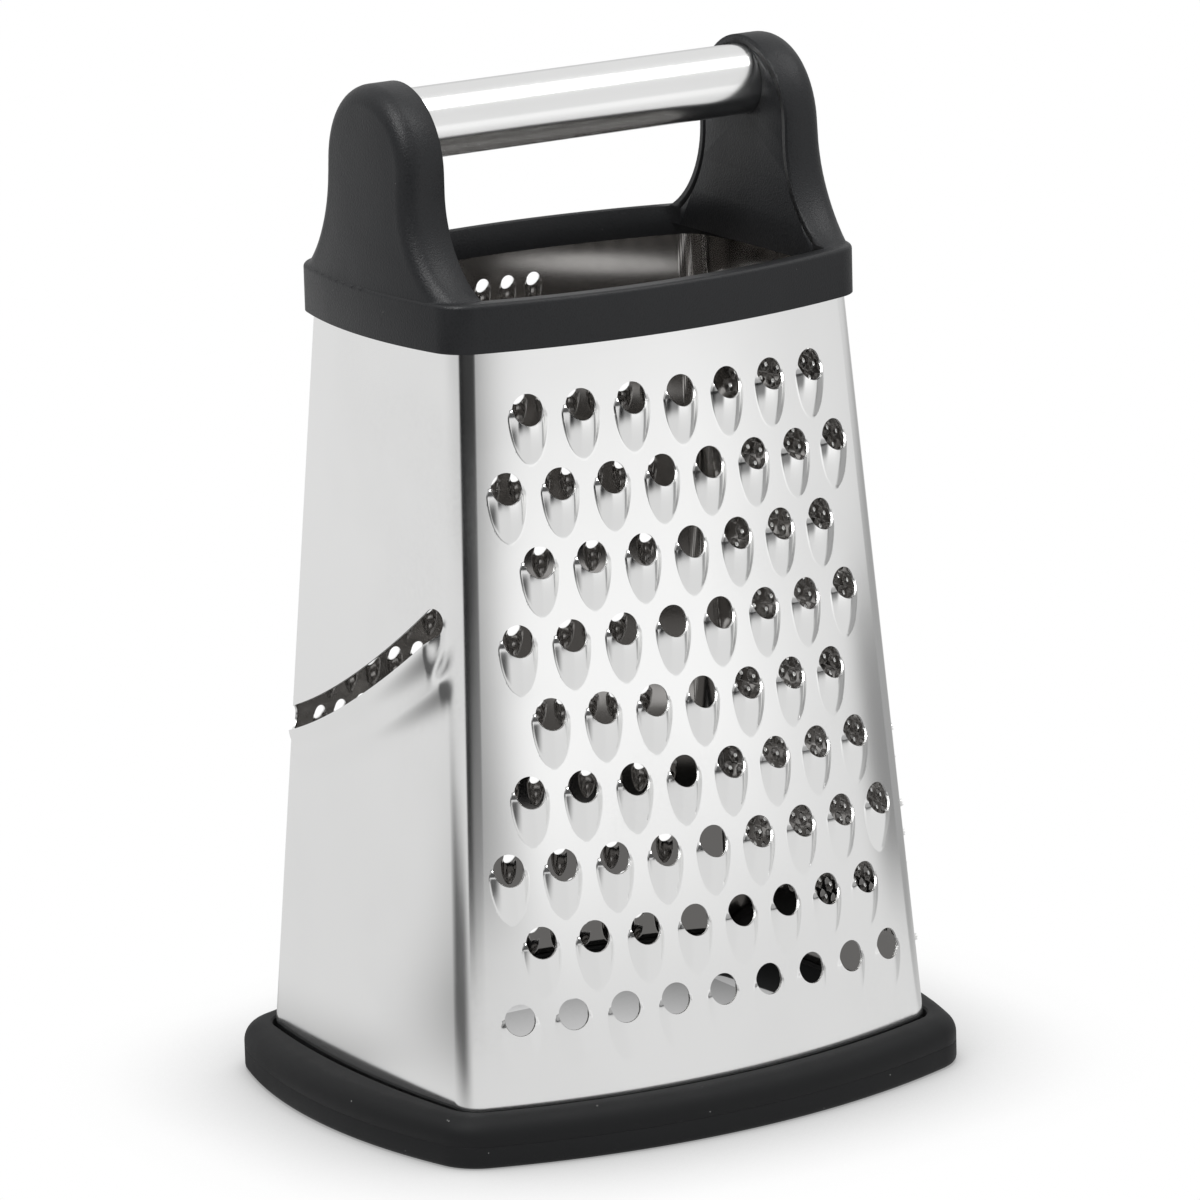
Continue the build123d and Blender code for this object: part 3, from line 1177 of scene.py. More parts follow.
@dataclass
class SlicingSheet(NarrowSheet):
    """A narrow face with one slanted slot, whose lower side is pressed out into a blade.

    The blade is a lip at the slot over a wider bulge, which both end in a rolled cheek at the front.
    """

    blade_back: Pair = (36.0 * MM, 88.4 * MM)
    blade_middle: Pair = (3.8 * MM, 101.7 * MM)
    blade_front: Pair = (-32.0 * MM, 125.4 * MM)
    slot_widths: Pair = (6.0 * MM, 7.2 * MM)
    slot_overrun: float = 3.5 * MM
    lip_rises: Pair = (2.0 * MM, 3.0 * MM)
    lip_share: float = 0.7
    bulge_rise: float = 1.2 * MM
    bulge_middle: float = 0.66
    bulge_spread: float = 0.28
    bulge_reach: Pair = (9.0 * MM, 14.5 * MM)
    cheek_places: Pair = (-34.5 * MM, -38.5 * MM)
    cheek_run: float = 5.2 * MM
    back_run: float = 5.0 * MM
    edge_ease: float = 2.0 * MM
    edge_start: float = 1.5
    slot_points: int = 60
    end_points: int = 14
    front_zone: float = 14.0 * MM
    front_overrun: float = 4.0 * MM
    along_steps: Pair = (0.9 * MM, 0.45 * MM)
    below_start: float = 0.3 * MM
    below_reach: float = 1.4
    below_step: float = 0.55 * MM
    centre: Array = field(init=False)
    radius: float = field(init=False)
    start: float = field(init=False)
    way: float = field(init=False)
    length: float = field(init=False)

    def __post_init__(self) -> None:
        """Fits an arc through the blade's three points; its centre lies above the blade."""
        radius, _, _ = self.taper.narrow_arc(np.array([self.blade_middle[1]]))
        outer = float(radius[0]) + self.taper.corner
        corners = [(outer * math.asin(y / outer), z) for y, z in
                   (self.blade_back, self.blade_middle, self.blade_front)]
        (x1, y1), (x2, y2), (x3, y3) = corners
        twice = 2 * (x1 * (y2 - y3) + x2 * (y3 - y1) + x3 * (y1 - y2))
        one, two, three = (x * x + y * y for x, y in corners)
        self.centre = np.array([(one * (y2 - y3) + two * (y3 - y1) + three * (y1 - y2)) / twice,
                                (one * (x3 - x2) + two * (x1 - x3) + three * (x2 - x1)) / twice])
        self.radius = math.hypot(x1 - self.centre[0], y1 - self.centre[1])
        self.start = math.atan2(y1 - self.centre[1], x1 - self.centre[0])
        end = math.atan2(y3 - self.centre[1], x3 - self.centre[0])
        self.way = math.copysign(1.0, end - self.start)
        self.length = abs(end - self.start) * self.radius

    def blade_place(self, along: Array, below: Array) -> Array:
        """Flat places from a distance along the blade's edge and a distance below it."""
        angle = self.start + self.way * along / self.radius
        return self.centre + (self.radius + below)[:, None] * np.stack([np.cos(angle), np.sin(angle)], 1)

    def relief(self, across: Array, z: Array) -> Array:
        """How far each place is pressed out: a lip at the slot over a wider bulge.

        Args:
            across: distances across the face.
            z: heights.

        Returns:
            The heights.
        """
        off = np.stack([across, z], 1) - self.centre
        along = (np.arctan2(off[:, 1], off[:, 0]) - self.start) * self.way * self.radius
        below = np.hypot(off[:, 0], off[:, 1]) - self.radius
        low, high = self.bulge_reach
        share = np.clip(along / self.length, 0.0, 1.0)
        reach = low + (high - low) * share
        lip = self.lip_rises[0] + (self.lip_rises[1] - self.lip_rises[0]) * share
        lip *= 1 - eased(below / (self.lip_share * reach))
        bulge = np.exp(-(((below / reach - self.bulge_middle) / self.bulge_spread) ** 2))
        bulge *= self.bulge_rise
        lip, bulge = (height * eased((across - place) / self.cheek_run)
                      for height, place in zip((lip, bulge), self.cheek_places))
        back = eased((along + self.slot_overrun) / self.back_run)
        return (lip + bulge) * back * eased(below / self.edge_ease + self.edge_start)

    def openings(self) -> list[Array]:
        """The slot, with round ends.

        Returns:
            Its closed outline.
        """
        narrow, wide = self.slot_widths
        steps = np.linspace(-self.slot_overrun, self.length, self.slot_points)
        width = narrow + (wide - narrow) * (steps + self.slot_overrun) / (steps[-1] - steps[0])
        turn = np.linspace(0, math.pi, self.end_points)[1:-1]
        along = np.concatenate([steps, steps[-1] + wide / 2 * np.sin(turn), steps[::-1],
                                steps[0] - narrow / 2 * np.sin(turn)])
        below = np.concatenate([0 * steps, wide / 2 * (np.cos(turn) - 1), -width[::-1],
                                -narrow / 2 * (np.cos(turn) + 1)])
        return [self.blade_place(along, below)]

    def detail(self) -> list[Array]:
        """A fine filling of the lip and the bulge, finest at the lip's front end.

        Returns:
            The flat points in groups.
        """
        made = []
        front = self.length - self.front_zone
        for first, last, step in ((-2 * self.slot_overrun, front, self.along_steps[0]),
                                  (front, self.length + self.front_overrun, self.along_steps[1])):
            along = np.arange(first, last, step)
            lowest = self.below_reach * self.bulge_reach[1]
            for drop in np.arange(self.below_start, lowest, self.below_step):
                made.append(self.blade_place(along, np.full(len(along), drop)))
        return made


@dataclass
class StampedPoints:
    """One small shape repeated on points of a face by Geometry Nodes."""

    name: str
    stamp: Piece
    material: Material
    seed: int
    turn_spread: float
    size_spread: float

    def tree(self) -> Tree:
        """Builds the node tree: instances on points, turned and sized unevenly, made real.

        Returns:
            The tree.
        """
        tree = bpy.data.node_groups.new(self.name + "_tree", "GeometryNodeTree")
        for name, kind in (("Points", "Geometry"), ("Stamp", "Object"), ("Turn Spread", "Float"),
                           ("Size Spread", "Float"), ("Seed", "Int"), ("Finish", "Material")):
            tree.interface.new_socket(name, in_out="INPUT", socket_type="NodeSocket" + kind)
        tree.interface.new_socket("Geometry", in_out="OUTPUT", socket_type="NodeSocketGeometry")
        book = NodeBook(tree)
        given, made = book.add("NodeGroupInput"), book.add("NodeGroupOutput")
        stamp = book.add("GeometryNodeObjectInfo")
        facing = book.add("GeometryNodeInputNamedAttribute", data_type="FLOAT_VECTOR")
        facing.inputs["Name"].default_value = "facing"
        aim = book.add("FunctionNodeAlignRotationToVector", axis="Z")
        turn = book.add("FunctionNodeRandomValue", data_type="FLOAT")
        spin = book.add("FunctionNodeAxisAngleToRotation")
        spin.inputs["Axis"].default_value = (0, 0, 1)
        turned = book.add("FunctionNodeRotateRotation", rotation_space="LOCAL")
        size = book.add("FunctionNodeRandomValue", data_type="FLOAT")
        spread = book.add("GeometryNodeInstanceOnPoints")
        real = book.add("GeometryNodeRealizeInstances")
        dressed = book.add("GeometryNodeSetMaterial")
        turn_spread, size_spread, seed = (
            given.outputs[name] for name in ("Turn Spread", "Size Spread", "Seed"))
        for source, target in (
                (given.outputs["Stamp"], stamp.inputs["Object"]),
                (facing.outputs["Attribute"], aim.inputs["Vector"]),
                (book.math("MULTIPLY", turn_spread, -1.0), turn.inputs[2]),
                (turn_spread, turn.inputs[3]),
                (seed, turn.inputs["Seed"]),
                (turn.outputs[1], spin.inputs["Angle"]),
                (aim.outputs["Rotation"], turned.inputs["Rotation"]),
                (spin.outputs["Rotation"], turned.inputs["Rotate By"]),
                (book.math("SUBTRACT", 1.0, size_spread), size.inputs[2]),
                (book.math("ADD", 1.0, size_spread), size.inputs[3]),
                (book.math("ADD", seed, 1.0), size.inputs["Seed"]),
                (given.outputs["Points"], spread.inputs["Points"]),
                (stamp.outputs["Geometry"], spread.inputs["Instance"]),
                (turned.outputs["Rotation"], spread.inputs["Rotation"]),
                (size.outputs[1], spread.inputs["Scale"]),
                (spread.outputs["Instances"], real.inputs["Geometry"]),
                (real.outputs["Geometry"], dressed.inputs["Geometry"]),
                (given.outputs["Finish"], dressed.inputs["Material"]),
                (dressed.outputs["Geometry"], made.inputs["Geometry"])):
            book.join(source, target)
        return tree

    def build(self, points: Array, facing: Array) -> Piece:
        """Stamps the shape on the points.

        Args:
            points: where each one stands.
            facing: the outward direction at each point.

        Returns:
            A plain mesh object.
        """
        mesh = bpy.data.meshes.new(self.name + "_points")
        mesh.from_pydata([tuple(p) for p in points], [], [])
        held = mesh.attributes.new("facing", "FLOAT_VECTOR", "POINT")
        held.data.foreach_set("vector", np.asarray(facing, np.float32).ravel())
        carrier = new_object(self.name + "_carrier", mesh)
        modifier = carrier.modifiers.new("stamps", "NODES")
        modifier.node_group = self.tree()
        values = {"Stamp": self.stamp, "Turn Spread": self.turn_spread, "Size Spread": self.size_spread,
                  "Seed": self.seed, "Finish": self.material}
        for item in modifier.node_group.interface.items_tree:
            if item.in_out == "INPUT" and item.name in values:
                modifier[item.identifier] = values[item.name]
        result = applied(carrier)
        bpy.data.objects.remove(carrier)
        bpy.data.objects.remove(self.stamp)
        result.name = self.name
        return new_object(self.name, result)


@dataclass(frozen=True)
class FilledRows:
    """Staggered rows of holes that fill a face to its margins, the first one half a pitch aside.

    The first row may be a short one, and the whole pattern may sit to one side. Below low_z the rows
    have a margin of their own, which is negative where they run on into the corner bends.
    """

    rows: int
    pitch: Pair
    top_z: float
    margin: float
    shift: float = 0.0
    top_reach: float | None = None
    low_z: float = 0.0
    low_margin: float = 0.0

    def centres(self, taper: BodyTaper, wide: bool) -> Array:
        """Places the holes on a face.

        Args:
            taper: the steel body's outside.
            wide: whether the face is a wide one.

        Returns:
            Distance across and height of each centre.
        """
        places = []
        for row in range(self.rows):
            z = self.top_z - row * self.pitch[1]
            half_width, half_depth, bow = taper.core(z)
            reach = half_width - taper.side_bow if wide else half_depth - bow
            reach -= self.low_margin if z < self.low_z else self.margin
            if row == 0 and self.top_reach:
                reach = self.top_reach
            aside = self.shift + (self.pitch[0] / 2 if row % 2 == 0 else 0.0)
            most = int(reach / self.pitch[0]) + 1
            across = aside + np.arange(-most, most + 1) * self.pitch[0]
            places += [(place, z) for place in across if abs(place) <= reach]
        return np.array(places)


@dataclass
class SteelBody:
    """The four pressed steel faces."""

    finishes: Finishes
    taper: BodyTaper = field(default_factory=BodyTaper)
    coarse_rows: tuple[int, ...] = (7, 8, 7, 8, 7, 8, 9, 8, 9)
    coarse_pitch: Pair = (13.4 * MM, 18.2 * MM)
    coarse_top_z: float = 178.9 * MM
    medium_rows: FilledRows = FilledRows(rows=18, pitch=(7.2 * MM, 10.1 * MM), top_z=190.1 * MM,
                                         margin=3.0 * MM, shift=2.3 * MM, top_reach=16.0 * MM)
    zesting_rows: FilledRows = FilledRows(rows=41, pitch=(4.8 * MM, 3.8 * MM), top_z=182.2 * MM,
                                          margin=2.0 * MM, low_z=86.0 * MM, low_margin=-1.4 * MM)
    crown_height: float = 1.0 * MM
    crown_radius: float = 0.86 * MM
    crown_teeth: int = 5
    crown_layers: tuple[Pair, ...] = ((1.35, -0.1), (1.0, 0.45), (0.92, 1.0))
    crown_notch: Pair = (0.9752, 0.55)
    crown_wall: float = 0.22 * MM
    crown_sink: float = 0.02 * MM
    crown_lift: float = 0.35 * MM

    def crown(self) -> Piece:
        """One zesting burr: a torn rim of leaning teeth, closed all round.

        Returns:
            The linked object.
        """
        points, faces = [], []
        around = 2 * self.crown_teeth
        top_layer = len(self.crown_layers) - 1
        for layer, sizes in enumerate(self.crown_layers):
            for number in range(around):
                angle = number * math.pi / self.crown_teeth
                reach, rise = self.crown_notch if layer == top_layer and number % 2 else sizes
                radius = self.crown_radius * reach
                points.append((radius * math.cos(angle), radius * math.sin(angle),
                               self.crown_height * rise))
        count = len(points)
        for x, y, z in list(points):
            away = math.hypot(x, y)
            kept = (away - self.crown_wall) / away
            points.append((x * kept, y * kept, z - self.crown_sink))
        for number in range(around):
            following = (number + 1) % around
            for start in range(0, top_layer * around, around):
                a, b = start + number, start + following
                faces.append((a, b, b + around, a + around))
                faces.append((a + count, a + around + count, b + around + count, b + count))
            top, following_top = top_layer * around + number, top_layer * around + following
            faces.append((top, following_top, following_top + count, top + count))
            faces.append((number, number + count, following + count, following))
        mesh = bpy.data.meshes.new("crown")
        mesh.from_pydata(points, [], faces)
        return new_object("crown", mesh)

    def build(self) -> None:
        """Builds the faces and puts them in place of the plain ones."""
        coarse = ScoopedSheet("coarse_face", self.taper, Face.LOW,
                              centres=staggered(self.coarse_rows, self.coarse_pitch, self.coarse_top_z))
        medium = ScoopedSheet("medium_face", self.taper, Face.HIGH,
                              centres=self.medium_rows.centres(self.taper, True), hole_radius=1.9 * MM,
                              hole_points=18, half_width=2.6 * MM, length=7.3 * MM, rise=1.25 * MM,
                              mouth_top=0.5 * MM, mouth_full=-0.2 * MM, shallow=1.0, blend=0.07 * MM,
                              row_step=0.62 * MM, across_steps=(0.0, 0.4, 0.7, 0.9, 1.05))
        zesting = ZestingSheet("zesting_face", self.taper, Face.HIGH,
                               centres=self.zesting_rows.centres(self.taper, False))
        slicing = SlicingSheet("slicing_face", self.taper, Face.LOW)
        for sheet, node in ((coarse, "coarse_grating_panel"), (medium, "medium_grating_panel"),
                            (zesting, "zesting_panel"), (slicing, "slicing_panel")):
            settle(sheet.build(self.finishes), node)
        across, z = zesting.centres.T
        lift = zesting.plain_normal(across, z)
        stamps = StampedPoints("zesting_burrs", self.crown(), self.finishes.cut_edge, seed=7,
                               turn_spread=math.pi, size_spread=0.16)
        burrs = stamps.build(zesting.plain(across, z) + self.crown_lift * lift, lift)
        settle(burrs, "zesting_panel")


@dataclass
class RubberRing:
    """The base ring: a soft moulding with a wide rounded shoulder and a groove for the steel."""

    finishes: Finishes
    taper: BodyTaper = field(default_factory=BodyTaper)
    width: float = 162.95 * MM
    depth: float = 135.6 * MM
    front_bow: float = 11.0 * MM
    side_bow: float = 6.6 * MM
    corner: float = 14.0 * MM
    height: float = 12.3 * MM
    shoulder: float = 5.0 * MM
    foot: float = 1.5 * MM
    gap: float = 0.9 * MM
    lip_top_z: float = 11.0 * MM
    groove_z: float = 2.8 * MM
    parting_z: float = 5.6 * MM
    parting_depth: float = 0.12 * MM
    parting_half: float = 0.22 * MM
    mouth_ease: Pair = (0.5 * MM, 0.4 * MM)
    lip_face: float = -0.6 * MM
    lip_ease: float = 0.3 * MM
    lip_back: float = -3.5 * MM
    lip_slope: float = 0.5 * MM
    lip_foot: float = 0.4 * MM
    around: int = 28
    crease: float = math.radians(40)

    def outer_profile(self) -> list[Pair]:
        """The outside from the foot to the top, as roll inwards and height.

        Returns:
            The profile's points in order.
        """
        made = []
        for angle in np.linspace(0, math.pi / 2, 5):
            made.append((self.foot * (1 - math.sin(angle)), self.foot * (1 - math.cos(angle))))
        made += [(0.0, self.parting_z - self.parting_half), (self.parting_depth, self.parting_z),
                 (0.0, self.parting_z + self.parting_half)]
        for angle in np.linspace(0, math.pi / 2, 12):
            made.append((self.shoulder * (1 - math.cos(angle)),
                         self.height - self.shoulder * (1 - math.sin(angle))))
        return made

    def inner_profile(self) -> list[Pair]:
        """The groove and the lip behind it down to the foot, as distance off the steel and height.

        Returns:
            The profile's points in order.
        """
        across, down = self.mouth_ease
        face, back, top, ease = self.lip_face, self.lip_back, self.lip_top_z, self.lip_ease
        return [(self.gap + across, self.height), (self.gap, self.height - down),
                (self.gap, self.groove_z), (face, self.groove_z), (face, top - ease),
                (face - ease, top), (back + ease, top), (back, top - self.lip_slope),
                (back, self.lip_foot), (back + self.lip_foot, 0.0)]

    def build(self) -> None:
        """Builds the ring and puts it in place of the plain one."""
        rows = []
        for inwards, z in self.outer_profile():
            flat, _ = rolled_outline(self.width / 2 - self.corner, self.depth / 2 - self.corner,
                                     self.front_bow, self.side_bow, self.corner - inwards, self.around)
            rows.append(np.column_stack([flat, np.full(len(flat), z)]))
        for stand_off, z in self.inner_profile():
            flat, _ = self.taper.outline(z, stand_off, self.around)
            rows.append(np.column_stack([flat, np.full(len(flat), z)]))
        faces = wrapped_faces(len(rows), len(rows[0]))
        piece = mesh_from("rubber_base_ring", np.concatenate(rows), faces, [self.finishes.rubber])
        piece.data.set_sharp_from_angle(angle=self.crease)
        settle(piece, "base_ring")


@dataclass
class TopFrame:
    """The moulded collar with its two uprights, their cover plates and the tube handle."""

    finishes: Finishes
    moulded: tuple[str, ...] = ("top_frame", "left_upright_cover", "right_upright_cover")
    tube_z: float = 242.2 * MM
    tube_radius: float = 8.7 * MM
    tube_wall: float = 0.8 * MM
    tube_half_length: float = 54.0 * MM
    tube_ease: float = 0.15 * MM
    tube_around: int = 96
    tube_crease: float = math.radians(30)
    weld: float = 0.004 * MM
    crease: float = math.radians(75)

    def merged_copy(self, node: str) -> Piece:
        """A smooth copy of a moulded CAD node.

        Args:
            node: the node's name.

        Returns:
            The linked copy.
        """
        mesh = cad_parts[node].data.copy()
        piece = new_object("moulded_" + node, mesh)
        mesh.name = piece.name
        mesh.materials.clear()
        mesh.materials.append(self.finishes.plastic)
        piece.modifiers.new("weld", "WELD").merge_threshold = self.weld
        piece.data = applied(piece)
        piece.data.polygons.foreach_set("use_smooth", np.ones(len(piece.data.polygons), bool))
        piece.data.set_sharp_from_angle(angle=self.crease)
        shading = piece.modifiers.new("shading", "WEIGHTED_NORMAL")
        shading.mode = "FACE_AREA_WITH_ANGLE"
        shading.keep_sharp = True
        piece.data = applied(piece)
        return piece

    def tube(self) -> Piece:
        """The handle tube: a closed round wall with eased ends.

        Returns:
            The linked object.
        """
        outer, inner, end = self.tube_radius, self.tube_radius - self.tube_wall, self.tube_half_length
        ease = self.tube_ease
        section = ((-end + ease, outer), (end - ease, outer), (end, outer - ease), (end, inner + ease),
                   (end - ease, inner), (-end + ease, inner), (-end, inner + ease), (-end, outer - ease))
        turn = np.arange(self.tube_around) * 2 * math.pi / self.tube_around
        points = np.concatenate([np.column_stack([np.full(len(turn), x), reach * np.cos(turn),
                                                  self.tube_z + reach * np.sin(turn)])
                                 for x, reach in section])
        piece = mesh_from("polished_handle_tube", points, wrapped_faces(len(section), len(turn)),
                          [self.finishes.tube])
        piece.data.set_sharp_from_angle(angle=self.tube_crease)
        return piece

    def build(self) -> None:
        """Dresses the frame, the covers and the tube."""
        for node in self.moulded:
            settle(self.merged_copy(node), node)
        settle(self.tube(), "handle_tube")


@dataclass(frozen=True)
class Patch:
    """A soft grey patch that polished metal sees.

    It spans four bearings in degrees: where it starts, is full, is still full and ends. It fades in
    between two distances, from near_share, and may fade out between two more, down to far_share.
    """

    tone: float
    bearings: tuple[float, float, float, float]
    near: Pair
    far: Pair | None = None
    near_share: float = 0.0
    far_share: float = 0.0


@dataclass(frozen=True)
class Lamp:
    """A soft lamp that looks at the object.

    Its bearing runs from the coarse face's side towards the zesting side and its rise is its elevation,
    both in degrees. It also has a distance, a width and height, and a power in watts.
    """

    name: str
    bearing: float
    rise: float
    away: float
    size: Pair
    power: float

    def build(self, target: Vector) -> None:
        """Hangs the lamp so that it looks at the target.

        Args:
            target: the place that it looks at.
        """
        light = bpy.data.lights.new(self.name, "AREA")
        light.shape = "RECTANGLE"
        light.size, light.size_y = self.size
        light.energy = self.power
        holder = new_object(self.name, light)
        turn, lift = math.radians(self.bearing), math.radians(self.rise)
        way = Vector((math.sin(turn) * math.cos(lift), -math.cos(turn) * math.cos(lift), math.sin(lift)))
        holder.location = target + way * self.away
        holder.rotation_euler = way.to_track_quat("Z", "Y").to_euler()


@dataclass
class Studio:
    """The camera, the pale floor, the white surroundings and the soft lamps."""

    azimuth: float = math.radians(-31.82)
    elevation: float = math.radians(14.07)
    roll: float = math.radians(-1.561)
    distance: float = 1.8926
    lens: float = 231.94
    target: tuple[float, float, float] = (3.602 * MM, 0.0, 117.98 * MM)
    floor_radius: float = 3.0
    # The body's footprint on the floor, and the painted shade inside it: a dark tone that metal sees,
    # and a share that darkens what the eye sees.
    inside: Pair = (62.0 * MM, 50.0 * MM)
    inside_painted_shade_tone: float = 0.25
    inside_shade: float = 0.62
    patches: tuple[Patch, ...] = (
        Patch(0.36, (66.0, 74.0, 110.0, 140.0), (0.1, 0.3), (0.8, 1.8), 0.4, 0.15),
        Patch(0.25, (60.0, 65.0, 68.0, 75.0), (0.25, 0.45), (0.8, 1.1)),
        Patch(0.2, (-60.0, -56.0, -14.0, -1.0), (0.45, 0.75)),
        Patch(0.1, (-125.0, -95.0, -78.0, -50.0), (0.1, 0.25), (0.5, 0.9)))
    low_sky_patches: tuple[Patch, ...] = (
        Patch(0.1, (-125.0, -100.0, -58.0, -42.0), (0.0, 0.08), (0.4, 0.7)),
        Patch(0.5, (-52.0, -42.0, -15.0, 0.0), (0.0, 0.08), (0.4, 0.7)))
    far_reach: Pair = (0.25, 0.9)
    # Close to the object, the floor that metal sees is darker as painted shade: at the sides and front
    # near it, and most of all close behind it on the left.
    side_tones: Pair = (0.72, 0.76)
    behind_bearings: Pair = (-120.0, -100.0)
    behind_reach: Pair = (0.06, 0.17)
    behind_shade_share: float = 0.4
    front_bearings: tuple[float, float, float, float] = (-9.0, 1.0, 61.0, 66.0)
    front_near_shade_tone: float = 0.74
    front_turn: Pair = (28.0, 60.0)
    front_far_tones: Pair = (1.0, 0.78)
    opening_start: Pair = (-60.0, -56.0)
    opening_end: Pair = (-42.0, -4.0)
    opening_softness: float = 8.0
    opening_widens: Pair = (1.3, 2.7)
    opening_reach: Pair = (0.45, 0.75)
    opening_tone: float = 0.015
    sky_fade: Pair = (0.15, 0.45)
    sky_tone: float = 0.96
    daylight: tuple[float, float, float, float] = (0.93, 0.95, 1.0, 1.0)
    daylight_strength: float = 0.75
    floor_grey: float = 0.8
    shade_reach: float = 50.0 * MM
    shade_least: float = 0.35
    lamps: tuple[Lamp, ...] = (Lamp("key_lamp", -70.0, 55.0, 1.3, (0.3, 0.8), 9.0),
                               Lamp("fill_lamp", 55.0, 62.0, 1.6, (0.6, 0.9), 6.0))

    def place_camera(self) -> None:
        """Stands the camera where the picture was taken."""
        flat = math.cos(self.elevation)
        back = Vector((math.sin(self.azimuth) * flat, -math.cos(self.azimuth) * flat,
                       math.sin(self.elevation)))
        right = Vector((0, 0, 1)).cross(back).normalized()
        up = back.cross(right)
        turned_right = right * math.cos(self.roll) + up * math.sin(self.roll)
        turned_up = up * math.cos(self.roll) - right * math.sin(self.roll)
        camera = bpy.data.cameras.new("camera")
        camera.lens = self.lens
        camera.sensor_width = 36.0
        camera.clip_end = 50.0
        holder = new_object("camera", camera)
        place = Vector(self.target) + back * self.distance
        turn = Matrix((turned_right, turned_up, back)).transposed().to_4x4()
        holder.matrix_world = Matrix.Translation(place) @ turn
        bpy.context.scene.camera = holder

    def world(self) -> None:
        """White to the eye, a soft even light on the object, and patches of grey to polished metal."""
        world = bpy.data.worlds.new("studio")
        bpy.context.scene.world = world
        world.use_nodes = True
        world.node_tree.nodes.clear()
        book = NodeBook(world.node_tree)
        x, y, rise = book.split(book.add("ShaderNodeTexCoord").outputs["Generated"])
        around = self.surroundings(book, x, y, self.floor_radius)
        tone = book.between(book.rise(rise, *self.sky_fade), around, self.sky_tone)
        tone = self.patched(book, self.bearing(book, x, y), rise, tone, self.low_sky_patches)
        light, mirrored, seen = (book.add("ShaderNodeBackground") for _ in range(3))
        light.inputs["Color"].default_value = self.daylight
        light.inputs["Strength"].default_value = self.daylight_strength
        book.join(tone, mirrored.inputs["Strength"])
        seen.inputs["Color"].default_value = (1, 1, 1, 1)
        by_eye, by_metal = self.seen_by(book)
        lit = book.shown(by_metal, light.outputs[0], mirrored.outputs[0])
        out = book.add("ShaderNodeOutputWorld")
        book.join(book.shown(by_eye, lit, seen.outputs[0]), out.inputs["Surface"])

    @staticmethod
    def seen_by(book: NodeBook) -> tuple[Socket, Socket]:
        """Whether the eye sees a place, and whether polished metal does.

        Args:
            book: the nodes it is built in.

        Returns:
            The two shares.
        """
        path = book.add("ShaderNodeLightPath")
        by_metal = book.math("MAXIMUM", path.outputs["Is Glossy Ray"],
                             path.outputs["Is Transmission Ray"])
        return path.outputs["Is Camera Ray"], by_metal

    def surroundings(self, book: NodeBook, x: Socket, y: Socket, away: object) -> Socket:
        """What polished metal sees around the object, as a grey by direction and distance.

        White paper runs far out at the front and greyer paper at both sides. Close to the object the
        paper is darker, a painted shade of the object on it. A dark opening stands at the front left,
        which widens with distance.

        Args:
            book: the nodes it is built in.
            x: the place across.
            y: the place in depth.
            away: the distance from the object, in metres.

        Returns:
            The grey's strength.
        """
        turn = self.bearing(book, x, y)
        far = book.rise(away, *self.far_reach)
        # Painted shade: near the object the tone is darker at the front and sides, and darkest close
        # behind it on the left.
        close = book.ramp(away, *self.behind_reach, self.behind_shade_share, 1.0, smooth=True)
        side = book.math("MULTIPLY", book.ramp(far, 0.0, 1.0, *self.side_tones),
                         book.between(book.fall(turn, *self.behind_bearings), 1.0, close))
        front = book.between(far, self.front_near_shade_tone,
                             book.ramp(turn, *self.front_turn, *self.front_far_tones, smooth=True))
        tone = book.between(self.sector(book, turn, *self.front_bearings), side, front)
        tone = self.patched(book, turn, away, tone, self.patches)
        end = book.ramp(away, *self.opening_widens, *self.opening_end)
        past = book.math("SUBTRACT", turn, end)
        within = book.fall(past, -self.opening_softness, self.opening_softness)
        dark = book.math("MULTIPLY", book.rise(turn, *self.opening_start), within)
        return book.between(book.math("MULTIPLY", dark, book.rise(away, *self.opening_reach)), tone,
                            self.opening_tone)

    def patched(self, book: NodeBook, turn: Socket, away: object, tone: object,
                patches: Sequence[Patch]) -> Socket:
        """Lays patches over a grey, each over the ones before it.

        Args:
            book: the nodes it is built in.
            turn: the bearing in degrees.
            away: the distance that the patches' fades follow.
            tone: the grey below them.
            patches: the patches in order.

        Returns:
            The grey with its patches.
        """
        for patch in patches:
            share = book.math("MULTIPLY", self.sector(book, turn, *patch.bearings),
                              book.ramp(away, *patch.near, patch.near_share, 1.0, smooth=True))
            if patch.far:
                share = book.math("MULTIPLY", share,
                                  book.ramp(away, *patch.far, 1.0, patch.far_share, smooth=True))
            tone = book.between(share, tone, patch.tone)
        return tone

    @staticmethod
    def bearing(book: NodeBook, x: Socket, y: Socket) -> Socket:
        """A place's bearing in degrees, from the coarse face's side towards the zesting side."""
        return book.math("MULTIPLY", book.math("ARCTAN2", x, book.math("MULTIPLY", y, -1.0)),
                         math.degrees(1.0))

    @staticmethod
    def sector(book: NodeBook, turn: Socket, start: float, full: float, still: float,
               end: float) -> Socket:
        """A share that rises from one bearing to the next, holds, and falls again, all in degrees."""
        return book.math("MULTIPLY", book.rise(turn, start, full), book.fall(turn, still, end))

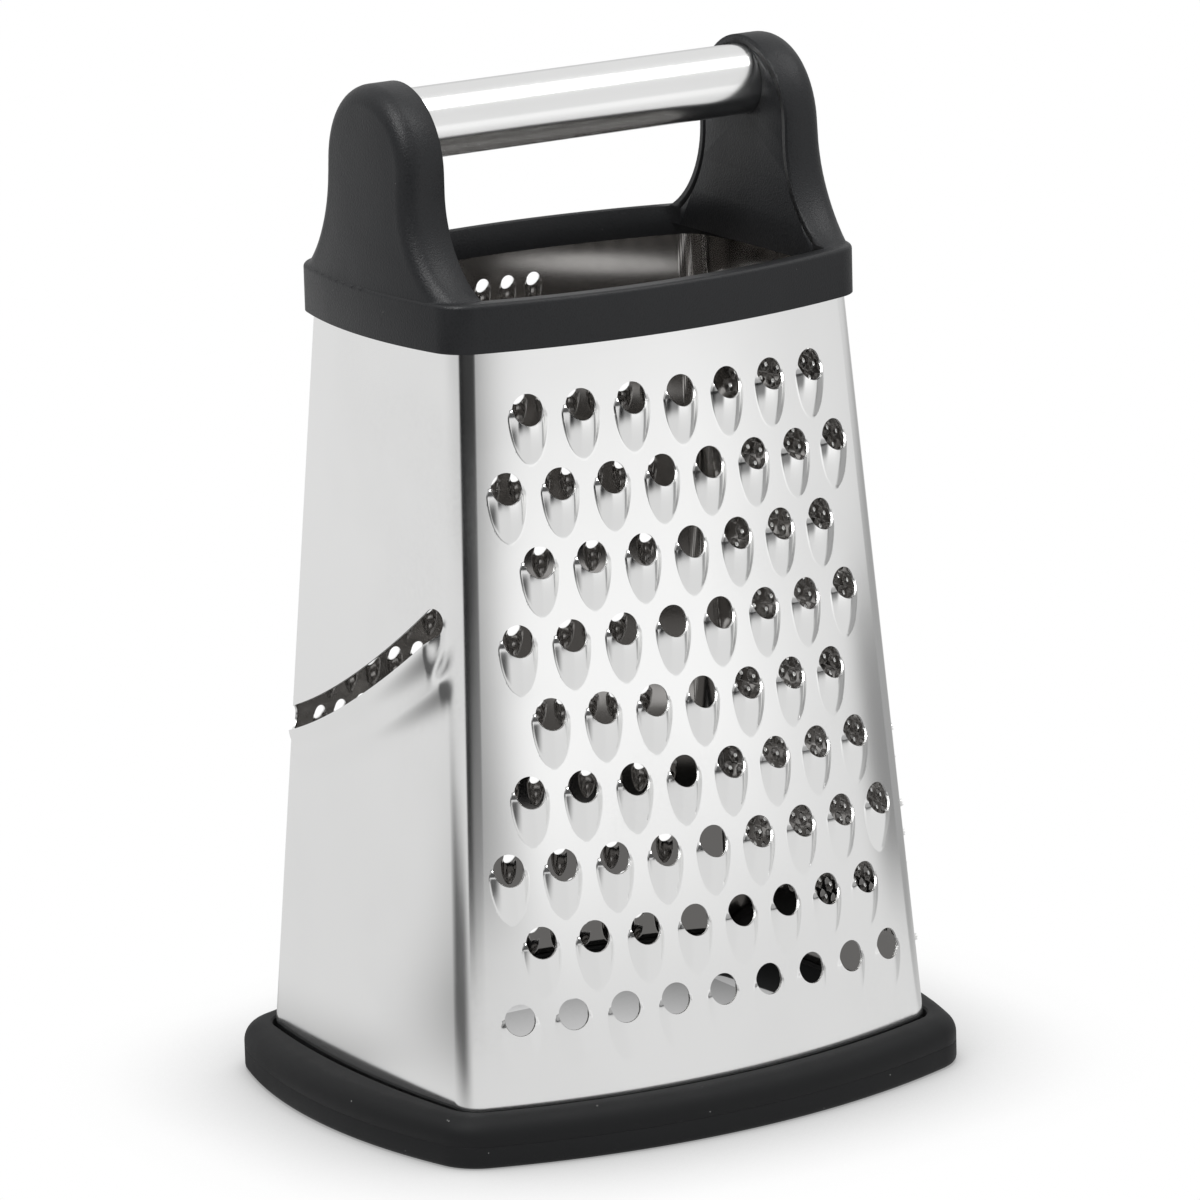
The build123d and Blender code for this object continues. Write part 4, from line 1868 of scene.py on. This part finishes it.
    def floor(self) -> None:
        """The pale floor: white to the eye, with a painted shadow from ambient occlusion near the object
        and painted shade inside its footprint, and uneven to polished metal.
        """
        material = bpy.data.materials.new("pale_floor")
        material.use_nodes = True
        material.node_tree.nodes.clear()
        book = NodeBook(material.node_tree)
        matt = book.add("ShaderNodeBsdfDiffuse")
        matt.inputs["Color"].default_value = (self.floor_grey,) * 3 + (1.0,)
        # Painted shadow: the glow that the eye sees is darkened near the object by ambient occlusion,
        # not by lamp light.
        shade = book.add("ShaderNodeAmbientOcclusion")
        shade.inputs["Distance"].default_value = self.shade_reach
        shadow = book.ramp(shade.outputs["AO"], self.shade_least, 1.0, self.shade_least, 1.0)
        x, y, _ = book.split(book.add("ShaderNodeTexCoord").outputs["Object"])
        squares = [book.math("MULTIPLY", place, place) for place in (x, y)]
        away = book.math("SQRT", book.math("ADD", *squares))
        within = [book.math("LESS_THAN", book.math("ABSOLUTE", place), half)
                  for place, half in zip((x, y), self.inside)]
        covered = book.math("MULTIPLY", *within)
        # Painted shade inside the body's footprint: a dark tone to metal and a darker share to the eye.
        mirrored = book.between(covered, self.surroundings(book, x, y, away), self.inside_painted_shade_tone)
        seen = book.math("MULTIPLY", shadow, book.between(covered, 1.0, self.inside_shade))
        by_eye, by_metal = self.seen_by(book)
        glow = book.add("ShaderNodeEmission")
        book.join(book.between(by_metal, seen, mirrored), glow.inputs["Strength"])
        shown = book.shown(book.math("MAXIMUM", by_eye, by_metal), matt.outputs[0], glow.outputs[0])
        book.join(shown, book.add("ShaderNodeOutputMaterial").inputs["Surface"])
        flat = ring_points((0.0, 0.0), self.floor_radius, 96)
        points = np.column_stack([flat, np.zeros(len(flat))])
        piece = mesh_from("studio_floor", points, [tuple(range(len(flat)))], [material])

    def build(self) -> None:
        """Builds the studio."""
        self.place_camera()
        self.world()
        self.floor()
        for lamp in self.lamps:
            lamp.build(Vector(self.target))
        bpy.context.scene.view_settings.view_transform = "Standard"


def main() -> None:
    """Builds the grater's looks in order."""
    logging.basicConfig(level=logging.INFO, format="%(name)s: %(message)s")
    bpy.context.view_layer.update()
    finishes = Finishes()
    Studio().build()
    SteelBody(finishes).build()
    RubberRing(finishes).build()
    TopFrame(finishes).build()


if __name__ == "__main__":
    main()
